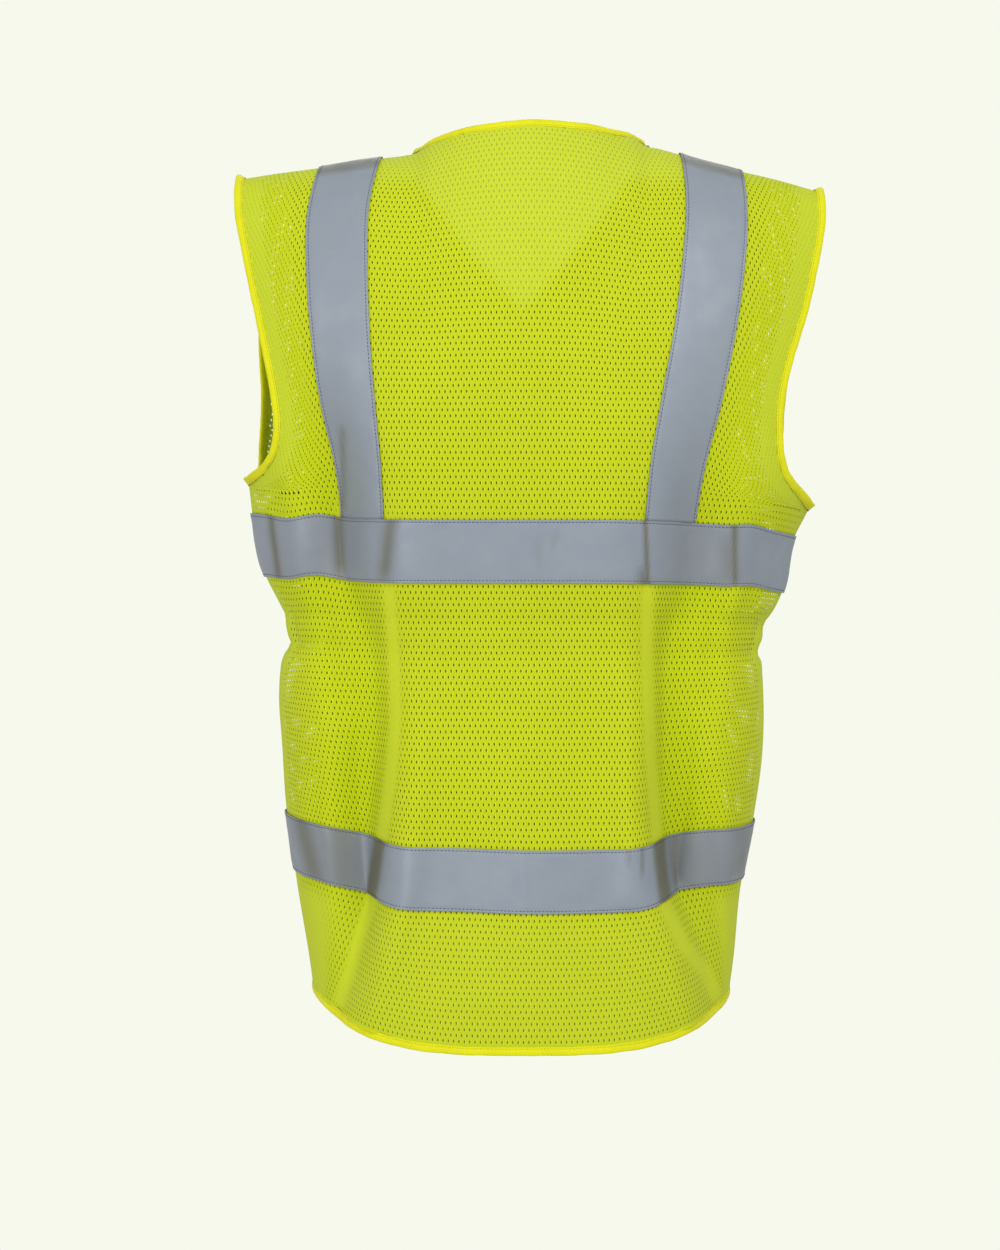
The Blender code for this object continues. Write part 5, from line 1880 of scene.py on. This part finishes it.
@dataclass
class EdgeBindings:
    """Woven tape folded over the cut edges of the neck, the armholes and the hem."""

    palette: Palette
    wall: float = 0.0005
    reach: float = 0.0080
    lap: float = 0.0012
    half_thickness: float = 0.00115
    stitch_inset: float = 0.0014
    stitch_pitch: float = 0.0028
    pucker_pitch: float = 0.0030
    step: float = 0.0024
    smoothing: float = 0.010

    def frames(self, edge: Array, inner: Array, closed: bool) -> tuple[Array, Array, Array]:
        """Even steps along an edge, with the ways out of the cloth and across it.

        Args:
            edge: Points of the cut edge.
            inner: For each of them, a point of the cloth further in.
            closed: Whether the edge is a loop.

        Returns:
            Points, the ways on past the edge, and the ways off the cloth.
        """
        edge, inner = self.joined(edge, closed), self.joined(inner, closed)
        run = lengths_along(edge)
        at = np.linspace(0, run[-1], round(run[-1] / self.step) + 1)
        points, within = read_line(edge, run, at), read_line(inner, run, at)
        if closed:
            points, within = points[:-1], within[:-1]
            tangent = unit(np.roll(points, -1, axis=0) - np.roll(points, 1, axis=0))
        else:
            points[1:-1] = self.smoothed(points, closed)[1:-1]
            tangent = unit(np.gradient(points, axis=0))
        away = points - within
        for _ in range(3):
            away = self.smoothed(square_to(tangent, away), closed)
        away = square_to(tangent, away)
        return points, away, np.cross(tangent, away)

    def smoothed(self, values: Array, closed: bool) -> Array:
        """Values along an edge, evened out over a short distance.

        Args:
            values: A row for each point of the edge.
            closed: Whether the edge is a loop.

        Returns:
            The smoother rows.
        """
        count = round(self.smoothing / self.step)
        weights = np.exp(-((np.arange(-2 * count, 2 * count + 1) / count) ** 2))
        weights /= weights.sum()
        padded = np.pad(values, ((2 * count, 2 * count), (0, 0)), mode="wrap" if closed else "edge")
        return np.stack([np.convolve(column, weights, mode="valid") for column in padded.T], axis=1)

    def joined(self, values: Array, closed: bool) -> Array:
        """Values along an edge, with the first repeated at the end of a loop."""
        return np.concatenate([values, values[:1]]) if closed else values

    def profile(self) -> list[tuple[float, float]]:
        """The folded tape across: out along its outer leg, round the fold and back.

        Returns:
            How far each point lies out past the start of the lap, and how far off the cloth.
        """
        thick = self.half_thickness
        fold = self.reach - thick
        leg = [(self.lap, 0.00042), (self.lap + 0.0007, 0.00056)]
        leg += [(self.lap + self.stitch_inset, 0.00046), (self.lap + 0.0024, 0.00090)]
        leg += [(fold - 0.0012, thick + 0.00012)]
        turn = [(fold + thick * math.sin(t), thick * math.cos(t)) for t in np.linspace(0, math.pi, 7)]
        return leg + turn + [(out, -off) for out, off in leg[::-1]]

    def bind(self, name: str, edge: Array, inner: Array, closed: bool) -> None:
        """Fold a binding over an edge and sew it.

        Args:
            name: The binding's node.
            edge: Points of the cut edge.
            inner: For each of them, a point of the cloth further in.
            closed: Whether the edge is a loop.
        """
        points, away, off = self.frames(edge, inner, closed)
        run = lengths_along(self.joined(points, closed))[: len(points)]
        seed = sum(ord(c) for c in name)
        wobble = 0.00022 * crinkle(run, 0 * run, 0.020, seed)
        pucker = 1 + 0.10 * np.cos(2 * math.pi * run / self.pucker_pitch)
        pucker += 0.10 * crinkle(run, 0 * run, 0.009, seed + 2)
        columns = [
            points + away * (out + wobble)[:, None] + off * (height * pucker)[:, None]
            for out, height in self.profile()
        ]
        grid = np.stack(columns, axis=1)
        stitches = Stitching(pitch=self.stitch_pitch, thickness=0.00045)
        for column, sign in ((2, 1), (-3, -1)):
            line = grid[:, column] + off * sign * self.wall / 2
            stitches.add(self.joined(line, closed), self.joined(off * sign, closed))
        grid = self.joined(grid, closed)
        flat = flat_map(grid)[..., ::-1]
        woven = self.palette.binding
        binding = sheet_from_grid(name + "_folded", grid, woven, self.wall, closed=closed, flat=flat)
        dress(binding, [name])
        thread = stitches.build(name + "_thread", self.palette.binding_thread)
        dress(thread)

    def armhole(self, side: Side) -> None:
        """Bind one armhole, up the back and down the front.

        Args:
            side: The wearer's side.
        """
        # Close together where the edge bends, at the underarm and the shoulder.
        low = UNDERARM_Z * (1 - np.linspace(0, 1, 260) ** 2.5)
        heights = np.unique(np.concatenate([low, shoulder_heights(260)]))
        seam = np.full_like(heights, SIDE_PLACE)
        edges, inners = [], []
        for face, part in ((Face.BACK, slice(None)), (Face.FRONT, slice(-2, 0, -1))):
            quarter = QUARTERS[face, side]
            edges.append(quarter.point(seam, heights)[part])
            inners.append(quarter.point(seam - 0.5, heights - 0.004)[part])
        turn = side.value
        self.bind(
            "armhole_binding_" + side.label,
            np.concatenate(edges)[::turn],
            np.concatenate(inners)[::turn],
            closed=True,
        )

    def from_zip_to_zip(
        self,
        name: str,
        first: Side,
        places: Array,
        height: Callable[[Quarter], Array],
        inset: tuple[float, float],
    ) -> None:
        """Bind an edge that runs from the zip round the back to the zip again.

        Args:
            name: The binding's node.
            first: The side where it starts.
            places: Places along the edge, from the middle of a panel.
            height: Gives the edge's nominal heights there on a quarter.
            inset: Steps in place and in height to a point of the cloth further in.
        """
        last = Side(-first.value)
        route = ((first, Face.FRONT), (first, Face.BACK), (last, Face.BACK), (last, Face.FRONT))
        edges, inners = [], []
        for side, face in route:
            quarter = QUARTERS[face, side]
            z = height(quarter)
            turn = 1 if (side is first) == (face is Face.FRONT) else -1
            skip = 1 if edges else 0
            edges.append(quarter.point(places, z)[::turn][skip:])
            inners.append(quarter.point(places + inset[0], z + inset[1])[::turn][skip:])
        self.bind(name, np.concatenate(edges), np.concatenate(inners), closed=False)

    def build(self) -> None:
        """Bind the neck, the hem and both armholes."""
        neck, hem = np.linspace(0, NECK_PLACE, 160), np.linspace(0, SIDE_PLACE, 400)
        self.from_zip_to_zip(
            "neck_binding", Side.RIGHT, neck, lambda quarter: quarter.cut_height(neck), (0.05, -0.003)
        )
        self.from_zip_to_zip(
            "hem_binding", Side.LEFT, hem, lambda quarter: np.full_like(hem, HEM_Z), (0.0, 0.006)
        )
        for side in Side:
            self.armhole(side)


@dataclass
class WaistElastics:
    """Elastic sewn stretched to the inside of each side waist, which gathers the mesh."""

    palette: Palette
    wall: float = 0.0009
    inner_place: float = SIDE_PLACE - 4
    pinch_z: float = -0.4075
    rows: int = 14
    step: float = 0.0016
    behind: float = MESH_WALL / 2 + SEAM_GAP + 0.0006
    ripple: float = 0.0002
    cord_pitch: float = 0.0048

    def build(self) -> None:
        """Lay both elastics across the side seams."""
        heights = WAIST_Z + np.linspace(-0.5, 0.5, self.rows + 1) * ELASTIC_WIDTH
        places = np.linspace(self.inner_place, SIDE_PLACE, 200)
        for side in Side:
            halves = {}
            for face in Face:
                quarter = QUARTERS[face, side]
                halves[face] = quarter.point(places[None, :], heights[:, None])
                halves[face][..., :2] = quarter.point(places, self.pinch_z)[None, :, :2]
            order = (Face.FRONT, Face.BACK) if side is Side.LEFT else (Face.BACK, Face.FRONT)
            first, second = halves[order[0]], halves[order[1]][:, ::-1]
            seam = (first[:, -1:] + second[:, :1]) / 2
            whole = np.concatenate([first[:, :-1], seam, second[:, 1:]], axis=1)
            grid = evened(whole, self.rows // 2, self.step)
            u = flat_map(grid)[..., 0]
            b = heights[:, None] - WAIST_Z + 0 * u
            height = -self.behind - self.ripple * (1 + np.cos(2 * math.pi * u / self.cord_pitch))
            height -= self.ripple * (1 + crinkle(u, b, 0.012, side.value + 5))
            name = "waist_elastic_" + side.label
            ribbed = self.palette.elastic
            elastic = sheet_from_grid(name + "_band", relief(grid, height), ribbed, self.wall)
            dress(elastic, [name])


@dataclass
class FrontZip:
    """The centre front zip: tapes, moulded teeth, and the slider, pull and box on their nodes."""

    palette: Palette
    tape_wall: float = 0.0006
    tooth_pitch: float = 0.0030
    tooth_height: float = 0.0017
    tooth_reach: float = 0.0040
    tooth_wall: float = 0.0022
    tooth_x: float = 0.0011
    tooth_bevel: float = 0.0003
    cord_x: float = 0.00185
    cord_radius: float = 0.00095
    cord_rings: int = 60
    behind: float = MESH_WALL / 2 + SEAM_GAP + 0.00035

    def chain_line(self) -> Array:
        """The middle of the zip's chain.

        Returns:
            Points from its top down to the box.
        """
        low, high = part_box("zip_box")[1].z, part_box("zip_chain")[1].z
        right, left = QUARTERS[Face.FRONT, Side.RIGHT], QUARTERS[Face.FRONT, Side.LEFT]
        heights = np.linspace(float(right.cut_height(0.0)), HEM_Z, 2600)
        line = (right.point(0.0, heights) + left.point(0.0, heights)) / 2
        line[:, 0] = 0.0
        line[:, 1] -= self.behind
        return line[(line[:, 2] > low) & (line[:, 2] < high)]

    def tapes(self) -> None:
        """Lay a tape behind each front's edge."""
        for side in Side:
            quarter = QUARTERS[Face.FRONT, side]
            heights = np.linspace(HEM_Z, float(quarter.cut_height(0.0)), 240)
            grid = quarter.point(np.linspace(0.0, 1.0, 7)[None, :], heights[:, None])
            inner = grid[:, :1].copy()
            inner[..., 0] = side.value * ZIP_TAPE_INNER
            grid = np.concatenate([inner, grid], axis=1)
            grid = grid if side is Side.LEFT else grid[:, ::-1]
            grid = relief(grid, np.full(grid.shape[:2], -self.behind))
            name = "zip_tape_" + side.label
            tape = sheet_from_grid(name + "_woven", grid, self.palette.zip_tape, self.tape_wall)
            dress(tape, [name])

    def tooth(self) -> Mesh:
        """One tooth: a small block with its edges broken, turned to lie across the zip.

        Returns:
            Its mesh, round its own middle.
        """
        shape = bmesh.new()
        bmesh.ops.create_cube(shape, size=1.0)
        size = Vector((self.tooth_reach, self.tooth_height, self.tooth_wall))
        bmesh.ops.scale(shape, vec=size, verts=shape.verts)
        broken = {"offset": self.tooth_bevel, "segments": 1, "profile": 0.5, "material": -1}
        bmesh.ops.bevel(shape, geom=shape.edges, affect="EDGES", **broken)
        bmesh.ops.rotate(shape, matrix=Matrix.Rotation(math.pi / 2, 3, "X"), verts=shape.verts)
        return mesh_from(shape, "tooth")

    def teeth(self) -> None:
        """Set the teeth of both sides, a half pitch apart, from the chain's top to its box."""
        line = self.chain_line()
        run = lengths_along(line)
        tooth = self.tooth()
        many = bmesh.new()
        count = int((run[-1] - self.tooth_height / 2) / self.tooth_pitch)
        pitch = (run[-1] - self.tooth_height / 2) / count
        for side in Side:
            for k in range(count):
                at = (k + (1.0 if side is Side.LEFT else 0.5)) * pitch
                before = len(many.verts)
                many.from_mesh(tooth)
                many.verts.ensure_lookup_table()
                centre = Vector(read_line(line, run, at))
                centre.x = side.value * self.tooth_x
                bmesh.ops.translate(many, vec=centre, verts=many.verts[before:])
        bpy.data.meshes.remove(tooth)
        self.cords(many, line)
        mesh = mesh_from(many, "zip_chain_teeth")
        teeth = finish_piece("zip_chain_teeth", mesh, self.palette.acetal, sharp=30.0)
        dress(teeth, ["zip_chain"])

    def cords(self, shape: BMesh, line: Array) -> None:
        """Add the cord at each tape's edge that its teeth are moulded round.

        Args:
            shape: The teeth so far.
            line: Points down the middle of the zip.
        """
        at = np.linspace(0, len(line) - 1, self.cord_rings).astype(int)
        for side in Side:
            rings, rims = [], []
            for _, y, z in line[at]:
                place = Matrix.Translation((side.value * self.cord_x, y, z))
                ring = bmesh.ops.create_circle(shape, segments=6, radius=self.cord_radius, matrix=place)
                rings.append(ring["verts"])
                rims.append(list(dict.fromkeys(e for vert in rings[-1] for e in vert.link_edges)))
            for first, second in zip(rims, rims[1:]):
                bmesh.ops.bridge_loops(shape, edges=first + second)
            for ring in (rings[0], rings[-1]):
                bmesh.ops.contextual_create(shape, geom=ring)

    def hardware(self) -> None:
        """Give the slider, its pull and the box their enamel."""
        for name in ("zip_slider", "zip_pull", "zip_box"):
            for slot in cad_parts[name].material_slots:
                slot.material = self.palette.zinc
            log.info("%s: CAD node, enamelled", name)

    def build(self) -> None:
        """Make the tapes and the teeth, and dress the hardware."""
        self.tapes()
        self.teeth()
        self.hardware()


@dataclass
class Studio:
    """A pale sweep, soft lights and the camera at the photograph's angle."""

    focal_pixels: float = 2629.0
    frame_height: float = 1250.0
    camera_at: tuple[float, float, float] = (-0.0197, -2.2, -0.316)
    horizon: float = 540.0
    sweep_reach: float = 6.0
    floor_z: float = -1.45
    wall_y: float = 2.6
    wall_top_z: float = 5.0
    bend_radius: float = 1.2
    lit_point: tuple[float, float, float] = (0.0, 0.0, -0.35)

    def camera(self) -> None:
        """Set up the camera, tilted down so that its horizon is the photograph's."""
        lens = bpy.data.cameras.new("camera")
        lens.sensor_fit = "VERTICAL"
        lens.sensor_height = 24.0
        lens.lens = self.focal_pixels * lens.sensor_height / self.frame_height
        down = math.atan((self.frame_height / 2 - self.horizon) / self.focal_pixels)
        made = place_in_scene("camera", lens)
        made.location = self.camera_at
        made.rotation_euler = (math.pi / 2 - down, 0, 0)
        bpy.context.scene.camera = made

    def sweep(self) -> None:
        """Make the floor and the wall as one curved sheet, evenly lit, that casts no light itself."""
        bend_y, bend_z = self.wall_y - self.bend_radius, self.floor_z + self.bend_radius
        profile = [(-self.sweep_reach, self.floor_z)]
        for turn in np.linspace(0, math.pi / 2, 17):
            across, down = self.bend_radius * math.sin(turn), self.bend_radius * math.cos(turn)
            profile.append((bend_y + across, bend_z - down))
        profile.append((self.wall_y, self.wall_top_z))
        rows = len(profile) - 1
        shape = bmesh.new()
        bmesh.ops.create_grid(shape, x_segments=1, y_segments=rows, size=1.0)
        for vert in shape.verts:
            y, z = profile[round((vert.co.y + 1) / 2 * rows)]
            vert.co = (self.sweep_reach * vert.co.x, y, z)
        material, tree, shader = start_material("studio_paper")
        feed(tree, shader, {"Base Color": (0.0, 0.0, 0.0, 1.0), "Specular IOR Level": 0.0})
        feed(tree, shader, {"Emission Color": linear("#F7F9ED"), "Emission Strength": 1.0})
        sweep = finish_piece("studio_sweep", mesh_from(shape, "studio_sweep"), material)
        sweep.visible_diffuse = False
        sweep.visible_glossy = False
        sweep.visible_shadow = False
        sweep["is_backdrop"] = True

    def lamp(self, name: str, at: tuple[float, float, float], size: float, watts: float) -> None:
        """Hang one square softbox that faces the vest.

        Args:
            name: The lamp's name.
            at: Its place.
            size: Its side.
            watts: Its power.
        """
        light = bpy.data.lights.new(name, "AREA")
        light.size = size
        light.energy = watts
        made = place_in_scene(name, light)
        made.location = at
        made.rotation_euler = (Vector(self.lit_point) - Vector(at)).to_track_quat("-Z", "Y").to_euler()
        made.visible_camera = False

    def build(self) -> None:
        """Set up the camera, the sweep, the lamps and the sky."""
        self.camera()
        self.sweep()
        self.lamp("key", (0.9, -2.6, 1.5), 1.8, 37.0)
        self.lamp("fill", (-1.7, -2.6, -0.3), 2.0, 24.0)
        self.lamp("far", (0.2, 2.4, 0.9), 1.8, 16.0)
        world = bpy.data.worlds.new("studio_air")
        world.use_nodes = True
        sky = world.node_tree.nodes["Background"]
        feed(world.node_tree, sky, {"Color": linear("#FBFCF6"), "Strength": 0.62})
        bpy.context.scene.world = world
        bpy.context.scene.view_settings.view_transform = "Standard"


def corners() -> list[list[float]]:
    """The whole object's box, as plain lists."""
    return [[float(c) for c in corner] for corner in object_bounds()]


def main() -> None:
    """Build the studio and the vest's pieces in order."""
    logging.basicConfig(level=logging.INFO, format="%(message)s")
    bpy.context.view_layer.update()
    Studio().build()
    palette = Palette()
    for part in (MeshPanels, ReflectiveTapes, EdgeBindings, WaistElastics, FrontZip):
        part(palette).build()


if __name__ == "__main__":
    main()
